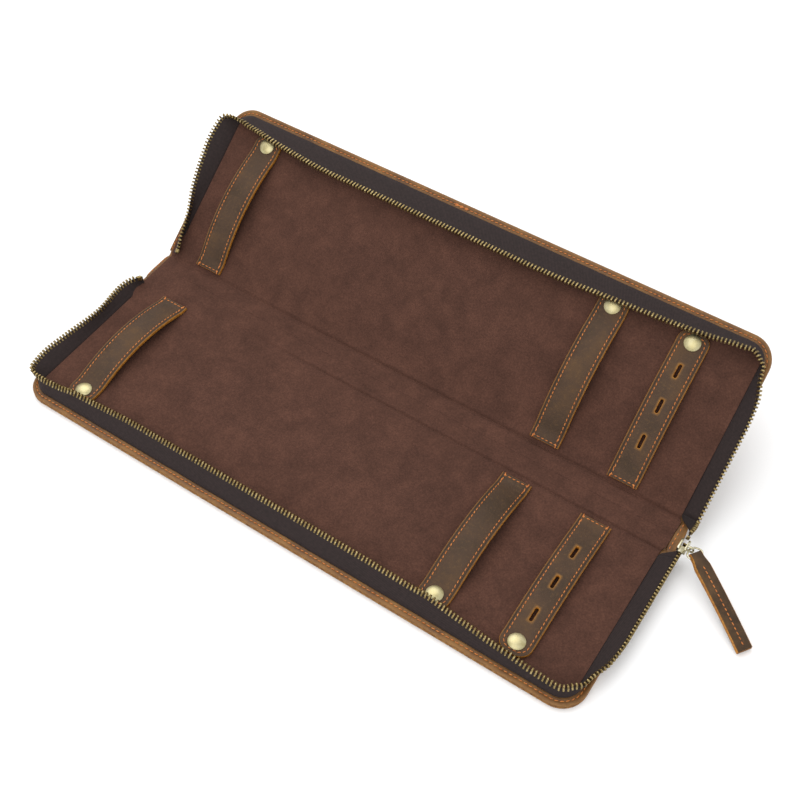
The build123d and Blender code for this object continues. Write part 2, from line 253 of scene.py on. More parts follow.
def metal(name, look):
    # Brass or nickel, cast or pressed and tumbled: bright crowns, dull brown hollows
    material, tree, shader = newMaterial(name)
    tarnish = noiseOf(tree, look["spot"], 4.0, 0.6)
    plug(tree, shader, {
        "Base Color": toneOf(tree, tarnish, look["tones"]),
        "Roughness": mapped(tree, tarnish, 0.3, 0.7, look["roughness"] - 0.06, look["roughness"] + 0.08),
        "Normal": bumpOf(tree, 0.15, 0.03, tarnish), "Metallic": look["metallic"]})
    return material


def plainFibre(name, look):
    # Short fibres or plies and no gloss: waxed thread with darker turns, or pressed tan-grey board
    material, tree, shader = newMaterial(name)
    fibres = noiseOf(tree, look["width"], look["detail"], look["grit"])
    plug(tree, shader, {"Base Color": toneOf(tree, fibres, look["tones"]), "Roughness": look["roughness"]})
    return material


coverHide = waxedCowhide("waxedCowhide", {
    "cloudWidth": 15, "scuffWidth": 3.2, "scuffing": 0.55, "grainWidth": 0.9, "grainDepth": 0.22,
    "roughness": 0.52, "specular": 0.34, "edgeLineTone": "#33200f", "scuffTone": "#93703e", "rubTone": "#8a6132",
    "tones": ((0.3, "#4a2f17"), (0.5, "#674520"), (0.68, "#7f5a2e"))})
strapHide = waxedCowhide("oliveWaxedCowhide", {
    "cloudWidth": 22, "scuffWidth": 1.7, "scuffing": 0.5, "grainWidth": 0.8, "grainDepth": 0.3,
    "roughness": 0.62, "specular": 0.2, "edgeLineTone": "#1d150c", "scuffTone": "#6e5230", "rubTone": "#8f642e",
    "tones": ((0.28, "#3a2b1d"), (0.5, "#473527"), (0.72, "#58412b"))})
pullHide = waxedCowhide("darkWaxedCowhide", {
    "cloudWidth": 9, "scuffWidth": 1.6, "scuffing": 0.4, "grainWidth": 0.8, "grainDepth": 0.24,
    "roughness": 0.6, "specular": 0.22, "edgeLineTone": "#22150a", "scuffTone": "#785230", "rubTone": "#8a5e2c",
    "tones": ((0.28, "#342618"), (0.5, "#433221"), (0.72, "#55402a"))})
rawEdge = rawLeatherEdge("rawLeatherEdge", {
    "fibre": 1.6, "depth": 0.12, "tones": ((0.3, "#774718"), (0.5, "#a3691f"), (0.72, "#c08a38"))})
coverEdge = rawLeatherEdge("wornLeatherEdge", {
    "fibre": 2.2, "depth": 0.15, "tones": ((0.3, "#5a3a18"), (0.5, "#855a28"), (0.72, "#a37a3e"))})
liningSuede = suedeCloth("brushedSuede", {
    "napWidth": 14, "fibreWidth": 1.1, "fibreShare": 0.6, "pile": 0.2, "sheen": 0.12,
    "tones": ((0.3, "#3a2720"), (0.5, "#4c332a"), (0.72, "#604135"))})
fleshSide = suedeCloth("fleshSideLeather", {
    "napWidth": 12, "fibreWidth": 0.8, "fibreShare": 0.5, "pile": 0.25, "sheen": 0.08,
    "tones": ((0.3, "#6b4a2a"), (0.5, "#87602f"), (0.72, "#9d7440"))})
tapeCloth = wovenTape()
toothBrass = metal("antiqueBrass", {
    "spot": 1.4, "roughness": 0.36, "metallic": 0.9,
    "tones": ((0.25, "#4a3d27"), (0.5, "#8b774b"), (0.75, "#cab987"))})
capBrass = metal("paleBrass", {
    "spot": 5.0, "roughness": 0.4, "metallic": 0.92,
    "tones": ((0.3, "#b0a475"), (0.5, "#c1b78c"), (0.75, "#d2cba6"))})
sliderNickel = metal("paleNickelBrass", {
    "spot": 3.0, "roughness": 0.24, "metallic": 0.96,
    "tones": ((0.3, "#a39b7c"), (0.5, "#c4bda0"), (0.75, "#dedac6"))})
thread = plainFibre("waxedPolyesterThread", {
    "width": 0.7, "detail": 2.0, "grit": 0.5, "roughness": 0.5,
    "tones": ((0.3, "#8f4a1a"), (0.5, "#bb6c2a"), (0.75, "#d48c46"))})
board = plainFibre("leatherFibreBoard", {
    "width": 2.0, "detail": 6.0, "grit": 0.75, "roughness": 0.9,
    "tones": ((0.3, "#6b5038"), (0.7, "#92745a"))})
print("materials:", len(bpy.data.materials))


# Building helpers

def newPiece(bm, name, materials, place=None):
    # A bmesh in millimetres, placed by a function that gives metres in the row frame
    if place:
        for vert in bm.verts:
            vert.co = place(vert.co)
    bmesh.ops.recalc_face_normals(bm, faces=bm.faces)
    mesh = bpy.data.meshes.new(name)
    bm.to_mesh(mesh)
    bm.free()
    for material in materials:
        mesh.materials.append(material)
    piece = bpy.data.objects.new(name, mesh)
    bpy.context.scene.collection.objects.link(piece)
    return piece


def inMetres(point):
    return Vector(point) * mm


def dress(piece, node, body):
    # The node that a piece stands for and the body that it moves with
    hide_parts(node)
    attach(piece, body)


def arcPoints(centre, radius, start, end, count=10):
    turns = [math.radians(start + (end - start) * i / count) for i in range(count + 1)]
    return [(centre[0] + radius * math.cos(t), centre[1] + radius * math.sin(t)) for t in turns]


def evenly(low, high, pitch):
    count = max(1, round((high - low) / pitch))
    return [low + (high - low) * i / count for i in range(count + 1)]


def sharpBetweenKinds(bm):
    for edge in bm.edges:
        if len({face.material_index for face in edge.link_faces}) > 1:
            edge.smooth = False


def cutPattern(outlines, bottom, thickness, edgeRound, cuts=(), wear=None):
    # Sheet cut flat from outlines, the first outside and the rest holes, with rounded edges.
    # Faces are 0 on top, 1 on the cut edge and 2 underneath. wear names attributes and how they vary.
    curve = bpy.data.curves.new("pattern", "CURVE")
    curve.dimensions = "2D"
    curve.fill_mode = "BOTH"
    curve.extrude = thickness / 2 - edgeRound
    curve.bevel_depth = edgeRound
    curve.bevel_resolution = 2
    curve.offset = -edgeRound
    for outline in outlines:
        spline = curve.splines.new("POLY")
        spline.points.add(len(outline) - 1)
        for point, (x, y) in zip(spline.points, outline):
            point.co = (x, y, 0, 1)
        spline.use_cyclic_u = True
    holder = bpy.data.objects.new("pattern", curve)
    mesh = bpy.data.meshes.new_from_object(holder)
    bm = bmesh.new()
    bm.from_mesh(mesh)
    bpy.data.objects.remove(holder)
    bpy.data.curves.remove(curve)
    bpy.data.meshes.remove(mesh)
    bmesh.ops.remove_doubles(bm, verts=bm.verts, dist=edgeRound / 50)
    bmesh.ops.recalc_face_normals(bm, faces=bm.faces)
    for face in bm.faces:
        face.smooth = True
        up = face.normal.z
        face.material_index = 0 if up > 0.9 else 2 if up < -0.9 else 1
    sharpBetweenKinds(bm)
    for axis, places in cuts:
        for place in places:
            point, normal = Vector(), Vector()
            point[axis], normal[axis] = place, 1.0
            everything = bm.verts[:] + bm.edges[:] + bm.faces[:]
            bmesh.ops.bisect_plane(bm, geom=everything, dist=1e-4, plane_co=point, plane_no=normal)
    flat = bm.loops.layers.uv.new("flat")
    for face in bm.faces:
        for loop in face.loops:
            loop[flat].uv = loop.vert.co.xy
    for name, amount in (wear or {}).items():
        layer = bm.verts.layers.float.new(name)
        for vert in bm.verts:
            vert[layer] = amount(vert.co.x, vert.co.y)
    for vert in bm.verts:
        vert.co.z += bottom + thickness / 2
    return bm


def loftRings(rings, loop=False, closeEnds=True, kinds=None, wear=None):
    # Skin over rings of points, with a flat map: along the loft, then round the ring.
    # kinds gives the material of each place round the ring, and wear the attributes there.
    bm = bmesh.new()
    flat = bm.loops.layers.uv.new("flat")
    layers = {name: bm.verts.layers.float.new(name) for name in wear or {}}
    verts = [[bm.verts.new(point) for point in ring] for ring in rings]
    count = len(rings[0])
    middles = [sum((Vector(point) for point in ring), Vector()) / count for ring in rings]
    along = [0.0]
    for before, after in zip(middles, middles[1:]):
        along.append(along[-1] + (after - before).length)
    around = [0.0]
    for i in range(count):
        around.append(around[-1] + (Vector(rings[0][i]) - Vector(rings[0][(i + 1) % count])).length)
    last = len(rings) if loop else len(rings) - 1
    for r in range(last):
        n = (r + 1) % len(rings)
        for i in range(count):
            j = (i + 1) % count
            face = bm.faces.new((verts[r][i], verts[r][j], verts[n][j], verts[n][i]))
            face.smooth = True
            face.material_index = kinds[i] if kinds else 0
            corners = ((r, i), (r, i + 1), (r + 1, i + 1), (r + 1, i))
            for corner, (a, b) in zip(face.loops, corners):
                corner[flat].uv = (along[min(a, len(along) - 1)], around[b])
    if closeEnds and not loop:
        for ring in (verts[0], verts[-1]):
            bm.faces.new(ring).material_index = 1 if kinds else 0
    if kinds:
        sharpBetweenKinds(bm)
    for name, layer in layers.items():
        for ring in verts:
            for vert, amount in zip(ring, wear[name]):
                vert[layer] = amount
    return bm


def joined(shapes):
    # Several bmeshes as one
    whole = bmesh.new()
    for shape in shapes:
        mesh = bpy.data.meshes.new("shape")
        shape.to_mesh(mesh)
        shape.free()
        whole.from_mesh(mesh)
        bpy.data.meshes.remove(mesh)
    return whole


def turned(profile, sides=40):
    # Lathe work: a profile of (radius, height), spun about the vertical
    rings = []
    for radius, height in profile:
        turns = [2 * math.pi * i / sides for i in range(sides)]
        rings.append([(radius * math.cos(t), radius * math.sin(t), height) for t in turns])
    bm = loftRings(rings, closeEnds=False)
    bmesh.ops.remove_doubles(bm, verts=bm.verts, dist=1e-5)
    return bm


def roundedBar(width, thickness, corner, count=3):
    # Section of a strip with rounded corners, and the kind of each place round it as cutPattern has them
    points = []
    for side, (x, y) in enumerate(((1, 1), (-1, 1), (-1, -1), (1, -1))):
        centre = (x * (width / 2 - corner), y * (thickness / 2 - corner))
        points += arcPoints(centre, corner, 90 * side, 90 * side + 90, count)
    edge = [1] * count
    return points, edge + [0] + edge + [1] + edge + [2] + edge + [1]


def rounded(points, cut, count=5):
    # Closed outline whose corners are rounded off, starting this far from each corner
    smooth = []
    for i, point in enumerate(points):
        here, before, after = Vector(point), Vector(points[i - 1]), Vector(points[(i + 1) % len(points)])
        start = here + (before - here).normalized() * cut
        end = here + (after - here).normalized() * cut
        for step in range(count + 1):
            t = step / count
            smooth.append(tuple(start * (1 - t) ** 2 + here * (2 * t * (1 - t)) + end * t ** 2))
    return smooth


def sweep(path, section, side, loop=False, kinds=None, wear=None, widths=None):
    # Section carried along a path that keeps one side direction, each ring as wide as widths says
    rings = []
    for i, point in enumerate(path):
        before = path[i - 1] if i or loop else point
        after = path[(i + 1) % len(path)] if i + 1 < len(path) or loop else point
        up = (after - before).normalized().cross(side).normalized()
        wide = widths[i] if widths else 1.0
        rings.append([point + side * (a * wide) + up * b for a, b in section])
    return loftRings(rings, loop, kinds=kinds, wear=wear)


def nodesToMesh(name, source, tree, values, body=None):
    # Runs a geometry tree on a piece and keeps the result as a plain mesh
    modifier = source.modifiers.new("nodes", "NODES")
    modifier.node_group = tree
    for item in tree.interface.items_tree:
        if item.in_out == "INPUT" and item.name in values:
            modifier[item.identifier] = values[item.name]
    depsgraph = bpy.context.evaluated_depsgraph_get()
    mesh = bpy.data.meshes.new_from_object(source.evaluated_get(depsgraph))
    mesh.name = name
    source.modifiers.remove(modifier)
    bare = source.data
    bpy.data.objects.remove(source)
    bpy.data.meshes.remove(bare)
    piece = bpy.data.objects.new(name, mesh)
    bpy.context.scene.collection.objects.link(piece)
    if body:
        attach(piece, body)
    return piece


def rowMesh(name, rows):
    # Polylines in metres, with the direction that is up at each point
    mesh = bpy.data.meshes.new(name)
    points, edges, ups = [], [], []
    for row in rows:
        first = len(points)
        points += [point for point, _ in row]
        ups += [axis for _, up in row for axis in up]
        edges += [(first + i, first + i + 1) for i in range(len(row) - 1)]
    mesh.from_pydata(points, edges, [])
    mesh.attributes.new("up", "FLOAT_VECTOR", "POINT").data.foreach_set("vector", ups)
    source = bpy.data.objects.new(name, mesh)
    bpy.context.scene.collection.objects.link(source)
    return source


def rowTree(name, sizes, makeShape):
    # Instances of one shape along polylines, turned to the row and to its up direction
    tree = bpy.data.node_groups.new(name, "GeometryNodeTree")
    tree.interface.new_socket("Geometry", in_out="INPUT", socket_type="NodeSocketGeometry")
    for label, kind in sizes.items():
        tree.interface.new_socket(label, in_out="INPUT", socket_type=kind)
    tree.interface.new_socket("Geometry", in_out="OUTPUT", socket_type="NodeSocketGeometry")
    given = addNode(tree, "NodeGroupInput").outputs
    curve = addNode(tree, "GeometryNodeMeshToCurve", {}, {"Mesh": given["Geometry"]})
    even = addNode(tree, "GeometryNodeResampleCurve", {"mode": "LENGTH"}, {
        "Curve": curve.outputs[0], "Length": given["Spacing"]})
    up = addNode(tree, "GeometryNodeInputNamedAttribute", {"data_type": "FLOAT_VECTOR"}, {"Name": "up"})
    tangent = addNode(tree, "GeometryNodeInputTangent")
    jitter = addNode(tree, "FunctionNodeRandomValue", {"data_type": "FLOAT"}, {"Seed": 7})
    jitter.inputs[2].default_value = -0.5
    jitter.inputs[3].default_value = 0.5
    angle = addNode(tree, "ShaderNodeMath", {"operation": "MULTIPLY_ADD"}, {
        0: jitter.outputs[1], 1: given["Unevenness"], 2: given["Slant"]})
    lie = addNode(tree, "ShaderNodeVectorRotate", {"rotation_type": "AXIS_ANGLE"}, {
        "Vector": tangent.outputs[0], "Axis": up.outputs["Attribute"], "Angle": angle.outputs[0]})
    alongRow = addNode(tree, "FunctionNodeAlignRotationToVector", {"axis": "X"}, {"Vector": lie.outputs[0]})
    upright = addNode(tree, "FunctionNodeAlignRotationToVector", {"axis": "Z", "pivot_axis": "X"}, {
        "Rotation": alongRow.outputs[0], "Vector": up.outputs["Attribute"]})
    copies = addNode(tree, "GeometryNodeInstanceOnPoints", {}, {
        "Points": even.outputs[0], "Instance": makeShape(tree, given), "Rotation": upright.outputs[0]})
    real = addNode(tree, "GeometryNodeRealizeInstances", {}, {"Geometry": copies.outputs[0]})
    painted = addNode(tree, "GeometryNodeSetMaterial", {}, {
        "Geometry": real.outputs[0], "Material": given["Material"]})
    addNode(tree, "NodeGroupOutput", {}, {"Geometry": painted.outputs[0]})
    return tree


def stitchShape(tree, given):
    ball = addNode(tree, "GeometryNodeMeshUVSphere", {}, {"Segments": 8, "Rings": 5, "Radius": 0.5})
    soft = addNode(tree, "GeometryNodeSetShadeSmooth", {}, {"Geometry": ball.outputs["Mesh"]})
    size = addNode(tree, "ShaderNodeCombineXYZ", {}, {
        "X": given["Stitch Length"], "Y": given["Thread Width"], "Z": given["Thread Width"]})
    return addNode(tree, "GeometryNodeTransform", {}, {
        "Geometry": soft.outputs[0], "Scale": size.outputs[0]}).outputs[0]


def toothShape(tree, given):
    return addNode(tree, "GeometryNodeObjectInfo", {}, {
        "Object": given["Tooth"], "As Instance": True}).outputs["Geometry"]


rowSizes = {"Spacing": "NodeSocketFloat", "Slant": "NodeSocketFloat", "Unevenness": "NodeSocketFloat",
            "Material": "NodeSocketMaterial"}
stitchTree = rowTree("stitchRow", {
    **rowSizes, "Stitch Length": "NodeSocketFloat", "Thread Width": "NodeSocketFloat"}, stitchShape)
toothTree = rowTree("toothRow", {**rowSizes, "Tooth": "NodeSocketObject"}, toothShape)

stitching = {"gap": 0.55, "width": 0.68, "slant": 7, "unevenness": 6, "sink": 0.1, "pointSpacing": 1.5}


def stitch(name, rows, spacing, body=None):
    return nodesToMesh(name, rowMesh(name, rows), stitchTree, {
        "Spacing": spacing * mm,
        "Stitch Length": (spacing - stitching["gap"]) * mm,
        "Thread Width": stitching["width"] * mm,
        "Slant": math.radians(stitching["slant"]),
        "Unevenness": math.radians(stitching["unevenness"]),
        "Material": thread,
    }, body)


def densely(points, pitch):
    fine = []
    for (ax, ay), (bx, by) in zip(points, points[1:]):
        count = max(1, round(math.hypot(bx - ax, by - ay) / pitch))
        fine += [(ax + (bx - ax) * i / count, ay + (by - ay) * i / count) for i in range(count)]
    return fine + [points[-1]]


# Leather shell: the outer cover, one sheet over each fold, parted along the middle of the spine
shell = {"corner": 16.0, "edgeRound": 0.6, "bendCut": 0.75, "cutMargin": 1.0, "wornEdge": 3.0, "edgeRub": 0.8,
         "wornFold": 5.0, "foldRub": 0.6, "wornCuts": (0.4, 1.0), "spineBulge": 1.5, "bulgeSteps": 8}
spineMiddle = spineWidth / 2
halves = ("front", "back")


def halfOutline(end, width, corner, start):
    points = [(-end, start), (end, start)]
    points += arcPoints((end - corner, width - corner), corner, 0, 90)
    points += arcPoints((corner - end, width - corner), corner, 90, 180)
    return points


def spineBulge(v):
    # How far the right end of the spine stands out, fading into the halves
    return shell["spineBulge"] * (1 - ease((v + spineMiddle) / (spineMiddle + foldReach)))


def shellOutline():
    bulged = evenly(-spineMiddle, foldReach, (spineMiddle + foldReach) / shell["bulgeSteps"])
    outline = halfOutline(caseEnd, halfWidth, shell["corner"], -spineMiddle)
    return outline[:1] + [(caseEnd + spineBulge(v), v) for v in bulged] + outline[2:]


def foldCuts(pitch):
    reach = foldReach + shell["cutMargin"]
    return evenly(-reach, reach, pitch)


def shellRub(x, v):
    edge = min(caseEnd - abs(x), halfWidth - v)
    return max(shell["edgeRub"] * (1 - edge / shell["wornEdge"]),
               shell["foldRub"] * (1 - abs(v) / shell["wornFold"]), 0.0)


for half in halves:
    outline = shellOutline()
    worn = [share * shell["wornEdge"] for share in shell["wornCuts"]]
    sideCuts = [side * (caseEnd - inset) for side in (-1, 1) for inset in worn]
    outCuts = foldCuts(shell["bendCut"]) + [halfWidth - inset for inset in worn]
    pattern = cutPattern([outline], 0, coverTop, shell["edgeRound"], [(0, sideCuts), (1, outCuts)],
                         {"rub": shellRub})
    piece = newPiece(pattern, half + "Shell", [coverHide, coverEdge, coverHide],
                     lambda p, half=half: seat(half, p, soft=True))
    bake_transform(piece)
    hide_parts(half + "_cover", "spine_cover")
print("shell: two sheets, folds eased over", 2 * foldReach, "mm")

# Lining: suede glued over the boards and the spine, creased at the folds and turned up at the tape
lining = {"corner": 9.5, "edgeRound": 0.2, "crease": {"front": (1.2, 0.85), "back": (0.6, 1.2)},
          "pillow": 0.25, "pillowPlace": 3.2, "pillowWidth": 1.8, "creaseFrom": -170.0, "creaseRun": 150.0,
          "creaseLeast": 0.2, "curl": 0.3, "curlReach": 3.0, "curlCuts": (0.25, 0.5, 0.75, 1.0), "tuck": 0.4,
          "leftStrip": 3.0, "leftReach": 12.5, "leftTaper": 6.0, "spineStep": 3.5, "wave": 0.22,
          "waveLength": 34.0, "waveLayer": 3.0, "cutAlong": 6.0, "cutOut": 5.0, "cutFold": 0.45,
          "cutStart": 2.0}
liningThickness = liningTop - liningBottom


def liningRise(half, x, v):
    depth, width = lining["crease"][half]
    dent = -depth * math.exp(-(v / width) ** 2)
    dent += lining["pillow"] * math.exp(-((abs(v) - lining["pillowPlace"]) / lining["pillowWidth"]) ** 2)
    least = lining["creaseLeast"]  # the folds are hardly creased at the left end
    dent *= least + (1 - least) * ease((x - lining["creaseFrom"]) / lining["creaseRun"])
    swell = lining["wave"] * noise.noise(Vector((x, v, lining["waveLayer"])) / lining["waveLength"])
    if v < 0:
        return dent + swell
    edge = min(liningEnd - abs(x), liningWidth - v)
    turnUp = lining["curl"] * max(0.0, 1 - edge / lining["curlReach"]) ** 2 * ease(v / (2 * foldReach))
    return dent + swell + turnUp


def liningOutline():
    # A half's lining, tucked to the tape, with its wider stretch over the spine
    end, step = liningEnd + lining["tuck"], lining["spineStep"]
    left = caseEnd - lining["leftStrip"]
    outline = [(-left, -spineMiddle), (spineLiningEnd, -spineMiddle), (spineLiningEnd, -step)]
    outline += halfOutline(end, liningWidth + lining["tuck"], lining["corner"], 0)[1:]
    reach = lining["leftReach"]
    return outline + [(-end, reach + lining["leftTaper"]), (-left, reach)]


def placeLining(half, point):
    x, v, h = point
    return seat(half, (x, v, h + liningRise(half, x, v)), soft=True)


for half in halves:
    outline = liningOutline()
    curlCuts = [share * lining["curlReach"] for share in lining["curlCuts"]]
    alongCuts = evenly(-liningEnd + lining["cutAlong"], liningEnd - lining["cutAlong"], lining["cutAlong"])
    alongCuts += [side * (liningEnd - inset) for side in (-1, 1) for inset in curlCuts]
    outCuts = foldCuts(lining["cutFold"]) + [liningWidth - inset for inset in curlCuts]
    outCuts += evenly(foldReach + lining["cutStart"], liningWidth - lining["cutOut"], lining["cutOut"])
    pattern = cutPattern([outline], liningBottom, liningThickness, lining["edgeRound"],
                         [(0, alongCuts), (1, outCuts)])
    piece = newPiece(pattern, half + "Lining", [liningSuede] * 3, lambda p, half=half: placeLining(half, p))
    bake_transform(piece)
    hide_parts(half + "_lining", "spine_lining")
print("lining: two sheets of", round(2 * liningEnd), "by", round(liningWidth + spineMiddle), "mm")

# Seam: the line where the tape comes up, on three sides of a half. A station counts its runs: 0 to 1
# right end, 1 to 2 corner, 2 to 3 long side, 3 to 4 left corner, 4 to 5 left end.
seam = {"inset": 6.0, "start": 4.3, "endSteps": 36, "cornerSteps": 14, "longSteps": 110}
seamEnd = caseEnd - seam["inset"]
seamSide = halfWidth - seam["inset"]
seamCorner = shell["corner"] - seam["inset"]
endRun = halfWidth - shell["corner"] - seam["start"]
lastStation = 5


def seamAt(station):
    # Point of the seam, and the direction out of the half there
    run = min(max(int(station), 0), lastStation - 1)
    share = station - run
    right, far = caseEnd - shell["corner"], halfWidth - shell["corner"]
    if run == 0:
        return seamEnd, seam["start"] + share * endRun, 0.0
    if run == 2:
        return right * (1 - 2 * share), seamSide, math.pi / 2
    if run == 4:
        return -seamEnd, far - share * endRun, math.pi
    turn = math.pi / 2 * (share + (run == 3))
    centre = -right if run == 3 else right
    return centre + seamCorner * math.cos(turn), far + seamCorner * math.sin(turn), turn


def acrossSeam(station, section):
    # Points given as (out of the seam, up), set across the seam at a station
    x, v, turn = seamAt(station)
    return [(x + a * math.cos(turn), v + a * math.sin(turn), b) for a, b in section]


def seamStations(first, last):
    runs = (seam["endSteps"], seam["cornerSteps"], seam["longSteps"], seam["cornerSteps"], seam["endSteps"])
    inner = [run + i / count for run, count in enumerate(runs) for i in range(count)] + [lastStation]
    before = evenly(first, 0, 1 / seam["endSteps"])[:-1] if first < 0 else []
    return before + [station for station in inner if first <= station < last] + [last]


# Rim: leather facing sewn over the tape's margin on three sides, and a short facing on each spine end
rim = {"clear": 0.35, "edgeRound": 0.4, "endGap": 0.1, "stitchInset": 2.7, "stitchSpacing": 3.1,
       "stitchSkip": 2, "groove": 0.16, "grooveWidth": 0.8, "crown": 0.12, "crownInset": 1.2, "edgeRub": 0.6,
       "nearRub": 0.25, "wave": 0.12, "waveLayer": 1.0, "waveLength": 31.0, "backTack": -22.0, "tackRows": 3,
       "tackLength": 7.0, "tackPitch": 0.8, "narrow": 0.5, "narrowFrom": 4.84, "narrowRun": 0.07}
rimThickness = rimTop - rimBottom


def rimSection():
    # Section across the rim, the kind of each place round it and the rub there
    out, inside, edge = seam["inset"], rim["clear"], rim["edgeRound"]
    sewn, wide, crown = out - rim["stitchInset"], rim["grooveWidth"], rimTop + rim["crown"]
    shoulder, floor = rimTop + rim["crown"] / 2, rimTop - rim["groove"]
    top = [(out - rim["crownInset"], crown), (sewn + wide, shoulder), (sewn + wide / 3, floor),
           (sewn - wide / 3, floor), (sewn - wide, shoulder), (inside + rim["crownInset"], crown)]
    section = arcPoints((out - edge, rimBottom + edge), edge, -90, 0, 3)
    section += arcPoints((out - edge, rimTop - edge), edge, 0, 90, 3)
    section += top
    section += arcPoints((inside + edge, rimTop - edge), edge, 90, 180, 3)
    section += arcPoints((inside + edge, rimBottom + edge), edge, 180, 270, 3)
    kinds = [1] * 5 + [0] * (len(top) + 3) + [1] * 7 + [2]
    edgeRub, nearRub = [rim["edgeRub"]] * 8, [rim["nearRub"]]
    rub = edgeRub + nearRub + [0.0] * (len(top) - 2) + nearRub + edgeRub
    return section, kinds, rub


def rimRing(half, station, section):
    # A section of the rim at one station; it narrows at the end of the left side
    x, v, _ = seamAt(station)
    layer = rim["waveLayer"] + len(half)
    lift = rim["wave"] * noise.noise(Vector((x, v, layer)) / rim["waveLength"])
    width = 1 - rim["narrow"] * ease((station - rim["narrowFrom"]) / rim["narrowRun"])
    return acrossSeam(station, [(seam["inset"] - (seam["inset"] - a) * width, b + lift) for a, b in section])


for half in halves:
    section, kinds, rub = rimSection()
    endShare = rim["endGap"] / endRun
    stations = seamStations(-endShare, lastStation + endShare)
    rings = [rimRing(half, station, section) for station in stations]
    piece = newPiece(loftRings(rings, kinds=kinds, wear={"rub": rub}), half + "Rim",
                     [coverHide, coverEdge, fleshSide], lambda p, half=half: seat(half, p))
    dress(piece, half + "_rim", half + "_half")
    sewn = seam["inset"] - rim["stitchInset"]
    topStitch = [(sewn, rimTop - rim["groove"] + stitching["width"] / 2 - stitching["sink"])]
    outStitch = [(sewn, stitching["sink"])]
    sewnAt = stations[rim["stitchSkip"]:-rim["stitchSkip"]]
    down = seatUp(half, (0, 0, -1))
    rows = [[(seat(half, rimRing(half, station, topStitch)[0]), seatUp(half)) for station in sewnAt],
            [(seat(half, acrossSeam(station, outStitch)[0]), down) for station in sewnAt]]
    if half == "back":  # where the row was started and finished
        tackV = halfWidth - rim["stitchInset"]
        for i in range(rim["tackRows"]):
            shift = (i - 1) * stitching["width"] * rim["tackPitch"]
            tack = [(rim["backTack"], tackV + shift), (rim["backTack"] + rim["tackLength"], tackV + shift)]
            rows.append([(seat(half, (x, v, topStitch[0][1])), seatUp(half))
                         for x, v in densely(tack, stitching["pointSpacing"])])
    stitch(half + "RimStitches", rows, rim["stitchSpacing"], half + "_half")

facing = {"gap": 1.4, "steps": 12, "bow": 1.6, "round": 1.0, "rub": 0.5, "worn": 1.0,
          "stitch": {"right": 2.6, "left": 1.1}}
facingLow, facingHigh = frontFold + facing["gap"], backFold - facing["gap"]
facingMiddle, facingHalf = (facingLow + facingHigh) / 2, (facingHigh - facingLow) / 2


def facingOutline(side):
    # Lens-shaped facing: the edge of the case outside, a bowed edge by the lining
    outer, inner = [], []
    for i in range(facing["steps"] + 1):
        share = 2 * i / facing["steps"] - 1
        y = facingMiddle + share * facingHalf
        bulge = spineBulge(abs(share) * facingHalf - spineMiddle) if side > 0 else 0.0
        outer.append((side * (caseEnd + bulge - facing["round"] * share ** 6), y))
        inner.append((side * (spineLiningEnd + facing["bow"] * share ** 4), y))
    outline = outer + inner[::-1]
    return outline if side > 0 else outline[::-1]


def facingRub(x, y):
    return facing["rub"] * max(0.0, 1 - (caseEnd - abs(x)) / facing["worn"])


for side, name in ((1, "right"), (-1, "left")):
    cuts = [(0, [side * (caseEnd - facing["worn"])])]
    pattern = cutPattern([facingOutline(side)], coverTop, rimThickness, rim["edgeRound"], cuts,
                         {"rub": facingRub})
    piece = newPiece(pattern, name + "SpineFacing", [coverHide, coverEdge, coverHide], inMetres)
    dress(piece, "spine_facings", "spine")
    place = side * (caseEnd - facing["stitch"][name])
    height = coverTop + rimThickness + stitching["width"] / 2 - stitching["sink"] * 2
    sewnHalf = facingHalf - 2 * facing["bow"]
    row = [(Vector((place, y, height)) * mm, Vector((0, 0, 1)))
           for y in evenly(facingMiddle - sewnHalf, facingMiddle + sewnHalf, stitching["pointSpacing"])]
    stitch(name + "SpineStitches", [row], rim["stitchSpacing"], "spine")
print("rim: facing and stitch rows on both halves and the spine ends")

# Zip tape and teeth on each half. The tape stands up from the seam and leans in or out of it.
zipTape = {"width": 15.5, "lean": 10.5, "leanCurve": 0.6, "thickness": 0.7, "margin": 3.0, "turnIn": 1.0,
           "turnRound": 0.25, "foot": 0.9, "steps": 8, "bulge": 1.6, "bulgeLow": 0.6, "tailLength": 6.0,
           "tailHeight": 5.5, "endSag": {"front": 0.6, "back": 2.6}, "endSagShare": 0.14, "ripple": 0.35,
           "rippleLength": 8.0, "rippleLayer": 7.1, "endCut": 0.12, "endCutShare": 0.7, "capLift": 1.3,
           "capReach": 8.0}
zipTooth = {"spacing": 2.4, "length": 1.1, "width": 2.2, "clamp": 1.0, "tiltShare": 0.7, "unevenness": 2,
            "stopRoom": 4.2, "runEnd": 0.65, "runEase": 0.25, "runUpright": 0.8, "faceShare": 0.86,
            "bevelShare": 0.72}
